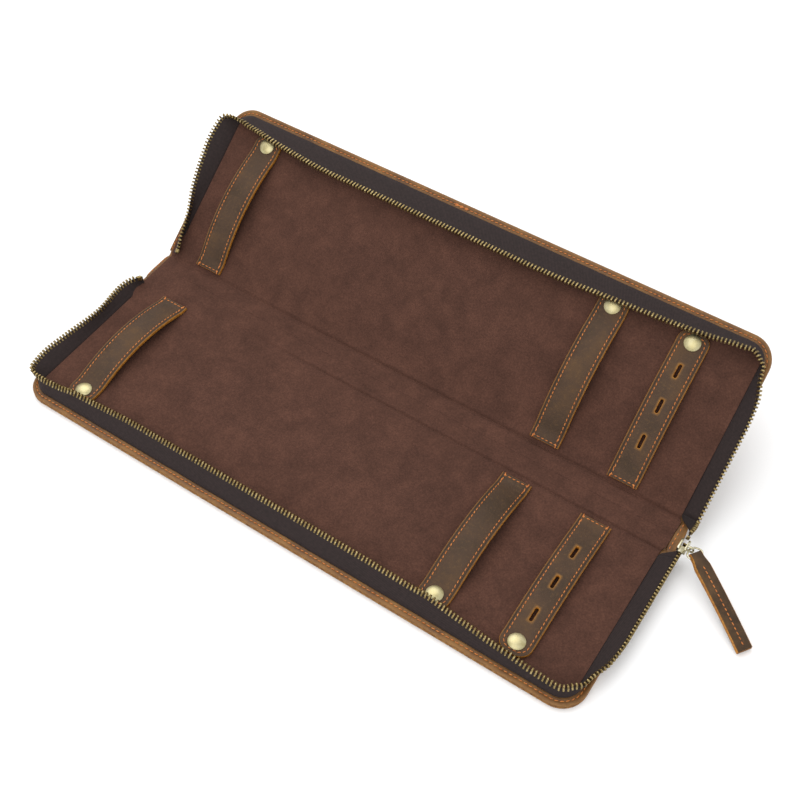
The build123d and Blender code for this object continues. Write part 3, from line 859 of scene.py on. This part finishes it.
# Lean of the tape's top edge out of the seam at each station, as a share of the lean above. The soft
# tapes lie a little differently on the two halves, each within a few millimetres of its solid.
rightEnd = ((0.0, 1.0), (0.62, 1.0), (0.8, 0.84), (0.95, 0.38), (1.3, -0.1))
leanShares = {
    "front": rightEnd + (
        (2.0, -0.16), (2.08, -0.28), (2.16, -0.58), (2.24, -0.8), (2.4, -0.88), (2.8, -0.88), (2.92, -0.68),
        (3.0, -0.42), (3.22, -0.36), (3.5, -0.17), (3.67, 0.15), (3.78, 0.47), (3.88, 0.72), (4.0, 0.88),
        (4.12, 1.0), (4.3, 0.84), (4.6, 0.5), (4.84, 0.72), (4.93, 0.58), (5.0, 0.2)),
    "back": rightEnd + (
        (2.0, -0.4), (2.08, -0.74), (2.2, -1.0), (2.4, -1.28), (2.8, -1.28), (2.92, -1.0), (3.0, -0.68),
        (3.22, -0.6), (3.5, -0.42), (3.67, -0.15), (3.78, 0.22), (3.86, 0.62), (3.94, 0.95), (4.05, 1.14),
        (4.15, 1.2), (4.3, 1.06), (4.5, 0.72), (4.7, 0.15), (4.82, -0.05), (5.0, -0.26)),
}


def knotSlope(knots, knot):
    # Slope of the smooth line at one knot: level at the ends and where it turns back
    if knot == 0 or knot == len(knots) - 1:
        return 0.0
    (low, lowShare), (here, share), (high, highShare) = knots[knot - 1:knot + 2]
    before, after = (share - lowShare) / (here - low), (highShare - share) / (high - here)
    return 2 * before * after / (before + after) if before * after > 0 else 0.0


def leanAt(half, station):
    knots = leanShares[half]
    station = min(max(station, 0), lastStation)
    knot = max(i for i in range(len(knots) - 1) if knots[i][0] <= station)
    (low, lowShare), (high, highShare) = knots[knot:knot + 2]
    run = high - low
    along = (station - low) / run
    left = 1 - along
    share = lowShare * left ** 2 * (1 + 2 * along) + highShare * along ** 2 * (1 + 2 * left)
    share += run * along * left * (knotSlope(knots, knot) * left - knotSlope(knots, knot + 1) * along)
    return zipTape["lean"] * share


def overCaps(station):
    # How far the long side's row is lifted where it lies over the edge of a snap cap
    if not 2 <= station <= 3:
        return 0.0
    x = seamAt(station)[0]
    nearness = (math.exp(-((x - place) / zipTape["capReach"]) ** 2) for place in strapPlaces.values())
    return zipTape["capLift"] * max(nearness)


def tapeLine(half, station):
    # Middle of the tape's thickness across one station, from its sewn margin up: (out of the seam, up)
    lean, fromEnd = leanAt(half, station), station - lastStation
    sag = zipTape["endSag"][half] * ease(fromEnd / zipTape["endSagShare"] + 1)
    under, foot = coverTop + zipTape["thickness"] / 2, rimBottom + zipTape["foot"]
    top = tapeTop + zipTooth["clamp"] - sag + overCaps(station)
    x, v, _ = seamAt(station)
    layer = zipTape["rippleLayer"] + len(half)
    ripple = zipTape["ripple"] * noise.noise(Vector((x, v, layer)) / zipTape["rippleLength"])
    turn = zipTape["turnRound"]
    points = [(zipTape["margin"], under), (zipTape["turnIn"], under), (turn, under + turn), (0.0, foot)]
    for i in range(1, zipTape["steps"] + 1):
        t = i / zipTape["steps"]
        bow = zipTape["bulge"] * math.sin(math.pi * t ** zipTape["bulgeLow"]) + ripple * math.sin(math.pi * t)
        curve = t * t * (1 + zipTape["leanCurve"] * (1 - t))
        points.append((lean * curve + bow, foot + (top - foot) * t))
    if half == "back":
        return points
    # Towards the slider the front tape narrows to a tail, and its left end is turned in
    drawn = ease(-station * endRun / (seam["start"] + zipTape["tailLength"]))
    drawn += zipTape["endCutShare"] * ease(fromEnd / zipTape["endCut"] + 1)
    shares = [i / (len(points) - 1) for i in range(len(points))]
    narrow = [(lean, top - zipTape["tailHeight"] * (1 - share)) for share in shares]
    return [(a + (c - a) * drawn, b + (d - b) * drawn) for (a, b), (c, d) in zip(points, narrow)]


def thickened(line, thickness):
    # Closed ring round a line of (out, up) points
    offsets = []
    for i in range(len(line)):
        before, after = line[max(i - 1, 0)], line[min(i + 1, len(line) - 1)]
        da, db = after[0] - before[0], after[1] - before[1]
        size = math.hypot(da, db)
        offsets.append((-db / size * thickness / 2, da / size * thickness / 2))
    ring = [(a + oa, b + ob) for (a, b), (oa, ob) in zip(line, offsets)]
    return ring + [(a - oa, b - ob) for (a, b), (oa, ob) in zip(line, offsets)][::-1]


def toothSeat(half, station):
    # Where a tooth sits on the tape's top edge, and the direction that it points, in the half's own points
    line = tapeLine(half, station)
    (lowA, lowB), (topA, topB) = line[-2:]
    # Teeth lean less than the tape does, and least on the slider's run
    running = 1 - ease((station - zipTooth["runEnd"]) / zipTooth["runEase"])
    follow = zipTooth["tiltShare"] * (1 - zipTooth["runUpright"] * running)
    tilt = follow * math.atan2(topA - lowA, topB - lowB)
    pointing = (math.sin(tilt), math.cos(tilt))
    base = (topA - zipTooth["clamp"] * pointing[0], topB - zipTooth["clamp"] * pointing[1])
    low, high = acrossSeam(station, [base, (base[0] + pointing[0], base[1] + pointing[1])])
    return Vector(low), Vector(high) - Vector(low)


def toothRow(half, stations):
    seats = [toothSeat(half, station) for station in stations]
    return [(seat(half, base), seatUp(half, up)) for base, up in seats]


def pressedTooth():
    # One pressed tooth: two legs clamped on the tape's edge, a neck and a rounded head
    wide, tall, clamp = zipTooth["width"] / 2, toothTop - tapeTop, zipTooth["clamp"]
    side = [(wide * 0.62, -clamp), (wide, -clamp * 0.7), (wide, tall * 0.25), (wide * 0.9, tall * 0.5),
            (wide * 0.98, tall * 0.72), (wide * 0.9, tall * 0.93), (wide * 0.5, tall)]
    outline = side + [(-a, b) for a, b in side[::-1]]
    thick, slim, bevel = zipTooth["length"] / 2, zipTooth["faceShare"], zipTooth["bevelShare"]
    rings = []
    for share, size in ((-1.0, slim), (-bevel, 1.0), (bevel, 1.0), (1.0, slim)):
        section = [(thick * share, a * size, tall / 2 + (b - tall / 2) * size) for a, b in outline]
        rings.append([inMetres(point) for point in section])
    bm = loftRings(rings)
    for face in bm.faces:
        face.smooth = False
    return newPiece(bm, "pressedTooth", [toothBrass])


toothPiece = pressedTooth()
tailStation = -(seam["start"] + zipTape["tailLength"]) / endRun


def zipTeeth(name, row, body):
    return nodesToMesh(name, rowMesh(name, [row]), toothTree, {
        "Spacing": zipTooth["spacing"] * mm, "Slant": 0.0, "Unevenness": math.radians(zipTooth["unevenness"]),
        "Material": toothBrass, "Tooth": toothPiece}, body)


def tapePiece(half, name, stations):
    sections = [thickened(tapeLine(half, station), zipTape["thickness"]) for station in stations]
    rings = [acrossSeam(station, section) for station, section in zip(stations, sections)]
    return newPiece(loftRings(rings), name, [tapeCloth], lambda p: seat(half, p))


zipTapes, tapeLengths = {}, {}
for half in halves:
    tape = tapePiece(half, half + "ZipTape", seamStations(0, lastStation))
    dress(tape, half + "_zip_tape", half + "_half")
    zipTapes[half] = tape
    stations = seamStations(tailStation if half == "front" else 0, lastStation)
    lastTooth = lastStation - zipTooth["stopRoom"] / endRun
    row = toothRow(half, [station for station in stations if station <= lastTooth])
    teeth = zipTeeth(half + "ZipTeeth", row, half + "_half")
    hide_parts(half + "_zip_teeth")
    tapeLengths[half] = sum((after - before).length for (before, _), (after, _) in zip(row, row[1:]))
print("zip: tapes of", [round(tapeLengths[half] / mm) for half in halves], "mm, with their teeth")

# Loose ends of the tapes by the slider. The front one narrows up to its row, and the back one crosses to the
# slider in two lengths.
tail = {"points": 16, "middle": 11, "narrowed": 13, "pull": 6.0, "lift": 0.4, "keep": 0.15}
frontTail = tapePiece("front", "frontZipTail", seamStations(tailStation, 0))
frontTop = seat("front", toothSeat("front", 0)[0])
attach(frontTail, "front_half")
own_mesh(frontTail)
sliderLow, sliderHigh = (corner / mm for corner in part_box("zip_slider"))
sliderMiddle = (sliderLow + sliderHigh) / 2


def tailPath(start, leave, end, arrive, count):
    # Smooth curve from one point to another, leaving and arriving along given directions
    points = []
    for i in range(count + 1):
        t = i / count
        points.append(start * (1 - t) ** 3 + (start + leave) * (3 * t * (1 - t) ** 2)
                      + (end + arrive) * (3 * t * t * (1 - t)) + end * t ** 3)
    return points


tailBase, tailPointing = toothRow("back", [0])[0]
tailEnd = Vector((tailBase.x, sliderHigh.y * mm, (sliderMiddle.z + tail["lift"]) * mm))
outAlong = -seatUp("back", (0, 1, 0))
row = tailPath(tailBase, outAlong * tail["pull"] * mm, tailEnd, -outAlong * tail["pull"] * mm, tail["points"])
standing = [(a, b) for a, b in tapeLine("back", 0) if b >= rimBottom]
wide = [seat("back", p) - tailBase for p in acrossSeam(0, thickened(standing, zipTape["thickness"]))]
steps = len(standing) - 1
strip = [(0.0, zipTooth["clamp"] - zipTape["tailHeight"] * (1 - i / steps)) for i in range(steps + 1)]
stripAcross = outAlong.cross(tailPointing).normalized()
slim = [(tailPointing * b - stripAcross * a) * mm for a, b in thickened(strip, zipTape["thickness"])]
rings = []
for i, point in enumerate(row):  # the whole tape at first, then only its upper strip
    share = ease(i / tail["narrowed"])
    rings.append([point + a.lerp(b, share) for a, b in zip(wide, slim)])
middle = tail["middle"]
lengths = {"": (0, middle, "back_half", "spine"), "End": (middle, tail["points"], "spine", "front_half")}
loosePieces = {"front": [frontTail], "back": []}
for name, (first, last, before, after) in lengths.items():
    length = newPiece(loftRings(rings[first:last + 1]), "backZipTail" + name, [tapeCloth])
    loosePieces["back"].append(length)
    toothed = [(point, tailPointing) for point in row[first + 1:last + 1]]
    lengthTeeth = zipTeeth("backTailTeeth" + name, toothed, None)
    for piece in (length, lengthTeeth):
        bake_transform(piece)
for half in halves:
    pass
bpy.data.objects.remove(toothPiece)

# End stops: a bent metal clip over the last of each row
zipStop = {"length": 3.2, "gap": 0.5, "width": 2.7, "height": 3.4, "corner": 0.7, "rise": 0.5,
           "roundShares": ((0, 0.75), (0.12, 0.95), (0.3, 1.0), (0.7, 1.0), (0.88, 0.95), (1, 0.75))}
for half in halves:
    last = lastStation - zipStop["gap"] / endRun
    first = last - zipStop["length"] / endRun
    section, _ = roundedBar(zipStop["width"], zipStop["height"], zipStop["corner"])
    rings = []
    for share, size in zipStop["roundShares"]:
        base, up = toothSeat(half, first + (last - first) * share)
        across = Vector((0, -1, 0)).cross(up).normalized()
        rings.append([base + across * a * size + up * (b * size + zipStop["rise"]) for a, b in section])
    stop = newPiece(loftRings(rings), half + "ZipStop", [toothBrass], lambda p, half=half: seat(half, p))
    dress(stop, half + "_zip_stop", half + "_half")
print("zip ends: back tail and", len(halves), "stops")

# Straps: olive leather strips, sewn down by the spine and snapped at the tip
strap = {"thickness": 2.2, "sewnStart": 4.4, "lateStart": 7.6, "tipRound": 6.0, "tipReach": 0.8,
         "roundTip": 8.0, "roundReach": 2.2, "flatLength": 12.0, "edgeRound": 0.45, "smoothing": 3.5,
         "smoothSteps": 4, "stitchInset": 2.5, "stitchSpacing": 2.85, "sewnBack": 0.8,
         "tack": ((0.5, -1.0), (0.3, 4.0)),
         "cut": 3.0, "cutInset": 1.0, "bendCutFrom": 4.0, "bendCutTo": 7.0, "bendCut": 1.0,
         "pressInset": 1.25, "pressWidth": 0.3, "pressDepth": 0.2, "pressFade": 3.0, "topFace": 0.01,
         "slitLength": 9.0, "slitWidth": 2.2, "slitSpacing": 23.4, "slits": 3, "bendBefore": 3.0,
         "bendAfter": 6.0, "rubWidth": 0.9, "edgeRub": 0.7, "slitRub": 1.5, "slitCuts": (0.5, 1.0)}
strapLow, strapHigh = span("front_left_strap", 0)
strapEdge = (strapHigh - strapLow) / 2
capLow, capHigh = (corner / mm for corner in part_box("front_left_strap_cap"))
snapV = frontFold - (capLow.y + capHigh.y) / 2
strapTipV = frontFold - span("front_left_strap", 1)[0]
hingeV = frontFold - joints["front_left_strap_lift"]["pos_m"][1] / mm
strapFlatV = strapTipV - strap["flatLength"]
archV = (hingeV + snapV) / 2
strapSeat = capLow.z - strap["thickness"]
archTops = {name: span("front_" + name, 2)[1] - strap["thickness"] for name in strapPlaces}


def stiffRise(name, v):
    # Underside of a strap as stiff runs: flat where sewn, one arch, and flat again under the snap
    if v <= hingeV:
        return liningTop
    if v >= strapFlatV:
        return strapSeat
    rise = 0.0
    knots = ((hingeV, liningTop), (archV, archTops[name]), (strapFlatV, strapSeat))
    for here, height in knots:
        for other, _ in knots:
            if other != here:
                height *= (v - other) / (here - other)
        rise += height
    return rise


def strapRise(name, v):
    # The same with its bends eased, as leather lies
    reach = strap["smoothSteps"]
    weights = {i: reach + 1 - abs(i) for i in range(-reach, reach + 1)}
    total = sum(stiffRise(name, v + strap["smoothing"] * i / reach) * weight for i, weight in weights.items())
    return total / sum(weights.values())


def strapPoint(name, x, v, height):
    slope = math.atan(strapRise(name, v + 0.5) - strapRise(name, v - 0.5))
    rise = strapRise(name, v) + height * math.cos(slope)
    return strapPlaces[name] + x, v - height * math.sin(slope), rise


def strapEnds(half, name):
    # Where a strap is sewn down, where it ends, and how round it ends there
    if (half, name) == ("front", "slotted_strap"):
        return strap["sewnStart"], strapTipV + strap["roundReach"], strap["roundTip"]
    start = strap["lateStart"] if (half, name) == ("front", "left_strap") else strap["sewnStart"]
    return start, strapTipV + strap["tipReach"], strap["tipRound"]


def strapOutline(inset, start, tipV, tipRound):
    edge, tip, corner = strapEdge - inset, tipV - inset, tipRound - inset
    points = [(edge, start)]
    points += arcPoints((edge - corner, tip - corner), corner, 0, 90, 8)
    points += arcPoints((corner - edge, tip - corner), corner, 90, 180, 8)
    return points + [(-edge, start)]


def slitOutline(v):
    radius, straight = strap["slitWidth"] / 2, (strap["slitLength"] - strap["slitWidth"]) / 2
    return arcPoints((0, v + straight), radius, 0, 180, 6) + arcPoints((0, v - straight), radius, 180, 360, 6)


def strapRub(slitPlaces):
    def worn(x, v):
        amount = strap["edgeRub"] * max(0.0, 1 - (strapEdge - abs(x)) / strap["rubWidth"])
        for place in slitPlaces:
            gap = math.hypot(max(abs(x) - strap["slitWidth"] / 2, 0),
                             max(abs(v - place) - strap["slitLength"] / 2, 0))
            amount = max(amount, 1 - gap / strap["slitRub"])
        return amount
    return worn


def strapPress(x, v):
    # Creasing line pressed along both edges, fading out at the round tip; the leather is also drawn darker
    # along it
    near = max(0.0, 1 - abs(strapEdge - abs(x) - strap["pressInset"]) / strap["pressWidth"])
    return near * ease((strapTipV - strap["tipRound"] - v) / strap["pressFade"])


def placeStrap(half, name, point):
    x, v, height = point
    if height > strap["thickness"] - strap["topFace"]:
        height -= strap["pressDepth"] * strapPress(x, v)
    return seat(half, strapPoint(name, x, v, height))


def onStrap(half, name, points):
    line = []
    for x, v in densely(points, stitching["pointSpacing"]):
        low = strapPoint(name, x, v, strap["thickness"] + stitching["width"] / 2 - stitching["sink"] * 3)
        high = strapPoint(name, x, v, strap["thickness"] + 1)
        line.append((seat(half, low), (seat(half, high) - seat(half, low)).normalized()))
    return line


def titleOf(half, name):
    return half + "".join(word.title() for word in name.split("_"))


for half in halves:
    for name, place in strapPlaces.items():
        slitPlaces = []
        if name == "slotted_strap":
            middle = (strap["slits"] - 1) / 2
            slitPlaces = [archV + (i - middle) * strap["slitSpacing"] for i in range(strap["slits"])]
        start, tipV, tipRound = strapEnds(half, name)
        outlines = [strapOutline(0, start, tipV, tipRound)] + [slitOutline(v) for v in slitPlaces]
        insets = [strap["pressInset"] + shift * strap["pressWidth"] for shift in (-1, 0, 1)]
        across = [side * (strapEdge - inset) for side in (-1, 1) for inset in insets]
        if slitPlaces:
            across += [side * (strap["slitWidth"] / 2 + share * strap["slitRub"])
                       for side in (-1, 1) for share in strap["slitCuts"]]
        straightEnd = strapTipV - strap["tipRound"] - strap["cutInset"]
        lengthwise = evenly(start + strap["cutInset"], straightEnd, strap["cut"])
        lengthwise += evenly(hingeV - strap["bendCutFrom"], hingeV + strap["bendCutTo"], strap["bendCut"])
        for v in slitPlaces:
            lengthwise += [v + side * (strap["slitLength"] / 2 + strap["slitRub"]) for side in (-1, 1)]
        wear = {"rub": strapRub(slitPlaces), "press": strapPress}
        pattern = cutPattern(outlines, 0, strap["thickness"], strap["edgeRound"],
                             [(0, across), (1, lengthwise)], wear)
        piece = newPiece(pattern, titleOf(half, name), [strapHide, rawEdge, fleshSide],
                         lambda p, half=half, name=name: placeStrap(half, name, p))
        body = f"{half}_{name}"
        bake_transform(piece)
        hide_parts(body, half + "_strap_ends")
        inset = strap["stitchInset"]
        sewn = start + inset - strap["sewnBack"]
        edge = strapEdge - inset
        rows = [onStrap(half, name, strapOutline(inset, sewn, tipV, tipRound)),
                onStrap(half, name, [(-edge, sewn), (edge, sewn)])]
        for side in (-1, 1):  # a few stitches sewn back over each corner
            tack = [(side * (edge + out), sewn + along) for out, along in strap["tack"]]
            rows.append(onStrap(half, name, tack))
        seamPiece = stitch(titleOf(half, name) + "Stitches", rows, strap["stitchSpacing"])
        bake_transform(seamPiece)
print("straps: six, with", strap["slits"], "slits in each slotted one")

# Snaps: domed cap and rolled socket on each strap, and a stud riveted to the lining
snap = {"sink": 0.05, "rolledEdge": 0.55, "capFlatness": 2.4, "capCrown": 0.5, "capGrowth": 0.15,
        "rollShares": ((0.93, 0.0), (1.0, 0.35), (1.0, 0.75)),
        "domeShares": (0.985, 0.955, 0.91, 0.85, 0.78, 0.68, 0.55, 0.4, 0.22),
        "socketRadius": 4.0, "socketHeight": 1.5, "socketHole": 1.95,
        "socketFlange": ((0.4, 0.0), (0.0, 0.4), (0.0, 0.8), (0.35, 1.0)), "socketWaist": (1.1, 1.05),
        "socketLip": ((0.9, 0.15), (0.5, 0.0), (0.0, 0.3)), "studBase": 3.6, "studBaseHeight": 0.7,
        "studRound": 0.3, "studRadius": 1.75, "studHeight": 2.1, "studWaist": 1.35, "studNeck": 0.8,
        "studHead": ((1.0, 0.45), (0.85, 0.1), (0.5, 0.0))}
capRadius = (capHigh.x - capLow.x) / 2
capHeight = capHigh.z - capLow.z


def capProfile():
    # Flat dome on a thin rolled edge
    low, edge, out = capLow.z - snap["sink"], snap["rolledEdge"], capRadius + snap["capGrowth"]
    crown = (capHeight - edge) * snap["capCrown"]
    profile = [(0, low)] + [(out * share, low + edge * up) for share, up in snap["rollShares"]]
    for share in snap["domeShares"]:
        profile.append((out * share, low + edge + crown * (1 - share ** snap["capFlatness"])))
    return profile + [(0, low + edge + crown)]


def socketProfile():
    # Closed ring: its flange from the outer edge of the top, its waist, and the lip round the hole
    low, high = strapSeat - snap["socketHeight"], strapSeat + snap["sink"]
    out, hole = snap["socketRadius"], snap["socketHole"]
    waist, down = snap["socketWaist"]
    flange = [(out - inset, high - drop) for inset, drop in snap["socketFlange"]]
    lip = [(hole + outset, low + rise) for outset, rise in snap["socketLip"]]
    return [(hole, high)] + flange + [(hole + waist, high - down)] + lip + [(hole, high)]


def studProfile():
    bevel, base, top = snap["studRound"], liningTop + snap["studBaseHeight"], liningTop + snap["studHeight"]
    low, out, waist, radius = liningTop - bevel, snap["studBase"], snap["studWaist"], snap["studRadius"]
    foot = [(0, low), (out, low), (out, base - bevel), (out - bevel, base), (radius + bevel, base)]
    head = [(radius * share, top - drop) for share, drop in snap["studHead"]]
    return foot + [(waist, base + bevel), (waist, top - snap["studNeck"])] + head + [(0, top)]


for half in halves:
    for name, place in strapPlaces.items():
        body = f"{half}_{name}"
        parts = {"Cap": (capProfile(), body + "_cap", body),
                 "Socket": (socketProfile(), body + "_socket", body),
                 "Stud": (studProfile(), half + "_snap_studs", half + "_half")}
        for part, (profile, node, carrier) in parts.items():
            piece = newPiece(turned(profile), titleOf(half, name) + part, [capBrass],
                             lambda p, half=half, place=place: seat(half, (place + p.x, snapV + p.y, p.z)))
            dress(piece, node, carrier)
print("snaps: six caps, sockets and studs")

# Slider: two shaped plates on a wedge, with a bent wire bail on the outer plate
slider = {"plate": 1.2, "channel": 1.4, "edgeRound": 0.3, "corner": 0.65, "crown": 0.2, "lip": 0.45,
          "lipStart": 3.4, "cut": 0.8, "innerLess": 1.5, "trim": 0.72,
          "outlineShares": ((-1.0, 0.8), (-0.6, 1.0), (0.4, 0.92), (1.0, 0.68)), "wedgeLength": 4.4,
          "wedgeThick": 1.8, "wedgeThin": 0.7, "wedgeOverlap": 0.2, "wedgeCorner": 0.25, "wedgeInset": 0.3,
          "bailWire": 0.65, "bailFoot": 2.2, "bailCorner": 1.5}
rowX = sliderLow.x + slider["plate"] + slider["channel"]
bailX = joints["pull_swing"]["pos_m"][0] / mm
sliderReach = (sliderHigh.y - sliderLow.y) / 2
outerHalf = (sliderHigh.z - sliderLow.z) / 2


def ringSection(radius, count=12):
    return arcPoints((0, 0), radius, 0, 360, count)[:-1]


def sliderPlate(half, side):
    # One plate, wide at the end where the rows part; side is 1 for the outer plate and -1 for the inner
    shares = slider["outlineShares"]
    reach = sliderReach * slider["trim"]
    outline = [(along * reach, -height * half) for along, height in shares]
    outline += [(along * reach, height * half) for along, height in shares[::-1]]
    pattern = cutPattern([rounded(outline, slider["corner"])], 0, slider["plate"], slider["edgeRound"],
                         [(1, evenly(slider["cut"] - half, half - slider["cut"], slider["cut"]))])
    for vert in pattern.verts:
        along, height, out = vert.co
        out += slider["crown"] * (1 - (height / half) ** 2) * (out > slider["plate"] / 2)
        out -= slider["lip"] * max(0.0, abs(height) - slider["lipStart"]) ** 2
        vert.co = (rowX + side * (slider["channel"] + out), sliderMiddle.y + along, sliderMiddle.z + height)
    return pattern


def sliderWedge():
    rings = []
    for share in (0, 0.5, 1):
        thick = slider["wedgeThick"] + (slider["wedgeThin"] - slider["wedgeThick"]) * share
        section, _ = roundedBar(2 * slider["channel"] + slider["wedgeOverlap"], thick, slider["wedgeCorner"])
        y = sliderLow.y + slider["wedgeInset"] + share * slider["wedgeLength"]
        rings.append([(rowX + a, y, sliderMiddle.z + b) for a, b in section])
    return loftRings(rings)


def wireBail():
    plateX = rowX + slider["channel"] + slider["plate"] / 2
    foot, reach = slider["bailFoot"], slider["bailCorner"]
    path = [(plateX, -foot)] + arcPoints((bailX - reach, -foot + reach), reach, -90, 0, 6)
    path += arcPoints((bailX - reach, foot - reach), reach, 0, 90, 6) + [(plateX, foot)]
    points = [Vector((x, sliderMiddle.y, sliderMiddle.z + z)) for x, z in path]
    return sweep(points, ringSection(slider["bailWire"]), Vector((0, 1, 0)))


innerHalf = outerHalf - slider["innerLess"]
plates = [sliderPlate(slider["trim"] * outerHalf, 1), sliderPlate(slider["trim"] * innerHalf, -1)]
shapes = plates + [sliderWedge(), wireBail()]
piece = newPiece(joined(shapes), "zipSlider", [sliderNickel] * 3, inMetres)
dress(piece, "zip_slider", "zip_slider")

# Pull: a wire link through the bail, and a leather strip folded round the link and sewn to itself
pull = {"heading": -35.0, "nearBar": -1.75, "farBar": 3.35, "nearHalf": 1.8, "shoulder": 1.0, "farHalf": 4.6,
        "wire": 0.55, "linkCorner": 1.0, "length": 57.2, "step": 2.5, "width": 9.4, "neckWidth": 7.2,
        "neckLength": 2.0, "neckTaper": 6.0, "layer": 1.45, "edgeRound": 0.3, "eye": 2.0, "eyeSteps": 10,
        "tipLow": -13.1, "middleLow": -6.05, "thickness": 3.0, "stitchStart": 9.0, "stitchEnd": 3.5,
        "stitchSpacing": 2.75}
pivot = Vector(joints["pull_swing"]["pos_m"]) / mm
heading = math.radians(pull["heading"])
pullAlong = Vector((math.cos(heading), math.sin(heading), 0))
pullAcross = Vector((-math.sin(heading), math.cos(heading), 0))
pullUp = Vector((0, 0, 1))


def fromPivot(along, across, up):
    return pivot + pullAlong * along + pullAcross * across + pullUp * up


def pullFace(along, start, lift):
    # Height of the strip's lower or upper face: a curve through the eye, the middle and the tip
    share = along / pull["length"]
    middle, tip = pull["middleLow"] + lift, pull["tipLow"] + lift
    ends = start * (1 - share) - tip * share
    return ends * (1 - 2 * share) + middle * 4 * share * (1 - share)


def tabTop(along):
    return pullFace(along, pull["eye"], pull["thickness"])


def tabLow(along):
    return pullFace(along, -pull["eye"], 0)


corners = [(pull["nearBar"], -pull["nearHalf"]), (pull["shoulder"], -pull["farHalf"]),
           (pull["farBar"], -pull["farHalf"]), (pull["farBar"], pull["farHalf"]),
           (pull["shoulder"], pull["farHalf"]), (pull["nearBar"], pull["nearHalf"])]
path = [fromPivot(along, across, 0) for along, across in rounded(corners, pull["linkCorner"])]
link = newPiece(sweep(path, ringSection(pull["wire"]), pullUp, loop=True), "pullLink", [sliderNickel],
                inMetres)
dress(link, "pull_link", "zip_pull")

stretch = evenly(0, pull["length"], pull["step"])
halfLayer = pull["layer"] / 2
lower = [(along, tabLow(along) + halfLayer) for along in stretch]
upper = [(along, tabTop(along) - halfLayer) for along in stretch]
eye = arcPoints((0, 0), pull["eye"] - halfLayer, 270, 90, pull["eyeSteps"])
line = lower[:0:-1] + eye + upper[1:]
path = [fromPivot(pull["farBar"] + along, 0, up) for along, up in line]
neck = pull["neckWidth"] / pull["width"]
widths = [neck + (1 - neck) * ease((along - pull["neckLength"]) / pull["neckTaper"]) for along, _ in line]
section, kinds = roundedBar(pull["width"], pull["layer"], pull["edgeRound"])
tab = newPiece(sweep(path, section, pullAcross, kinds=kinds, widths=widths), "pullTab",
               [pullHide, rawEdge, fleshSide], inMetres)
dress(tab, "pull_tab", "zip_pull")

rows = [[], []]
for along in evenly(pull["stitchStart"], pull["length"] - pull["stitchEnd"], stitching["pointSpacing"]):
    slope = tabTop(along + 0.5) - tabTop(along - 0.5)
    up = (pullUp - pullAlong * slope).normalized()
    rows[0].append((fromPivot(pull["farBar"] + along, 0, tabTop(along) + stitching["sink"]) * mm, up))
    rows[1].append((fromPivot(pull["farBar"] + along, 0, tabLow(along) - stitching["sink"]) * mm, -up))
stitch("pullStitches", rows, pull["stitchSpacing"], "zip_pull")
print("slider, link and pull")

for node in ("front_board", "back_board", "spine_board"):
    for slot in frame["nodes"][node].material_slots:
        slot.material = board

# Studio: pale floor, soft light and the camera
studio = {"lens": 54.28, "sensor": 36, "nearClip": 0.01, "farClip": 20, "azimuth": 33.44, "elevation": 52.62,
          "distance": 0.77214, "target": (0.00523, 0.06939, 0.0), "floorDrop": 0.0004, "floorSize": 6.0,
          "floorTone": "#f8f8f8", "floorRoughness": 0.7, "worldLight": 0.9, "lightAim": (0, 0.06, 0),
          "lightSize": 1.5, "keyPower": 9.0, "keyPlace": (-0.55, 0.5, 1.1), "fillPower": 6.5,
          "fillPlace": (0.1, -0.85, 1.0)}


def buildFloor():
    reach = studio["floorSize"] / 2
    mesh = bpy.data.meshes.new("floor")
    corners = [(-reach, -reach), (reach, -reach), (reach, reach), (-reach, reach)]
    mesh.from_pydata([(x, y, -studio["floorDrop"]) for x, y in corners], [], [(0, 1, 2, 3)])
    floor = bpy.data.objects.new("floor", mesh)
    bpy.context.scene.collection.objects.link(floor)
    material, tree, shader = newMaterial("paintedFloor")
    plug(tree, shader, {"Base Color": hexColour(studio["floorTone"]), "Roughness": studio["floorRoughness"]})
    mesh.materials.append(material)


def areaLight(name):
    data = bpy.data.lights.new(name, "AREA")
    data.energy = studio[name + "Power"]
    data.shape = "DISK"
    data.size = studio["lightSize"]
    light = bpy.data.objects.new(name, data)
    light.location = studio[name + "Place"]
    look = Vector(studio["lightAim"]) - Vector(light.location)
    light.rotation_euler = look.to_track_quat("-Z", "Y").to_euler()
    bpy.context.scene.collection.objects.link(light)


def buildCamera():
    data = bpy.data.cameras.new("camera")
    data.sensor_width = studio["sensor"]
    data.lens = studio["lens"]
    data.clip_start, data.clip_end = studio["nearClip"], studio["farClip"]
    camera = bpy.data.objects.new("camera", data)
    azimuth, elevation = math.radians(studio["azimuth"]), math.radians(studio["elevation"])
    back = Vector((math.sin(azimuth) * math.cos(elevation), -math.cos(azimuth) * math.cos(elevation),
                   math.sin(elevation)))
    camera.location = Vector(studio["target"]) + back * studio["distance"]
    camera.rotation_euler = (-back).to_track_quat("-Z", "Y").to_euler()
    bpy.context.scene.collection.objects.link(camera)
    bpy.context.scene.camera = camera


buildFloor()
buildCamera()
areaLight("key")
areaLight("fill")
world = bpy.data.worlds.new("studio")
world.use_nodes = True
plug(world.node_tree, world.node_tree.nodes["Background"], {
    "Color": (1, 1, 1, 1), "Strength": studio["worldLight"]})
bpy.context.scene.world = world
bpy.context.scene.view_settings.view_transform = "Standard"
print("studio: floor, lights and camera")
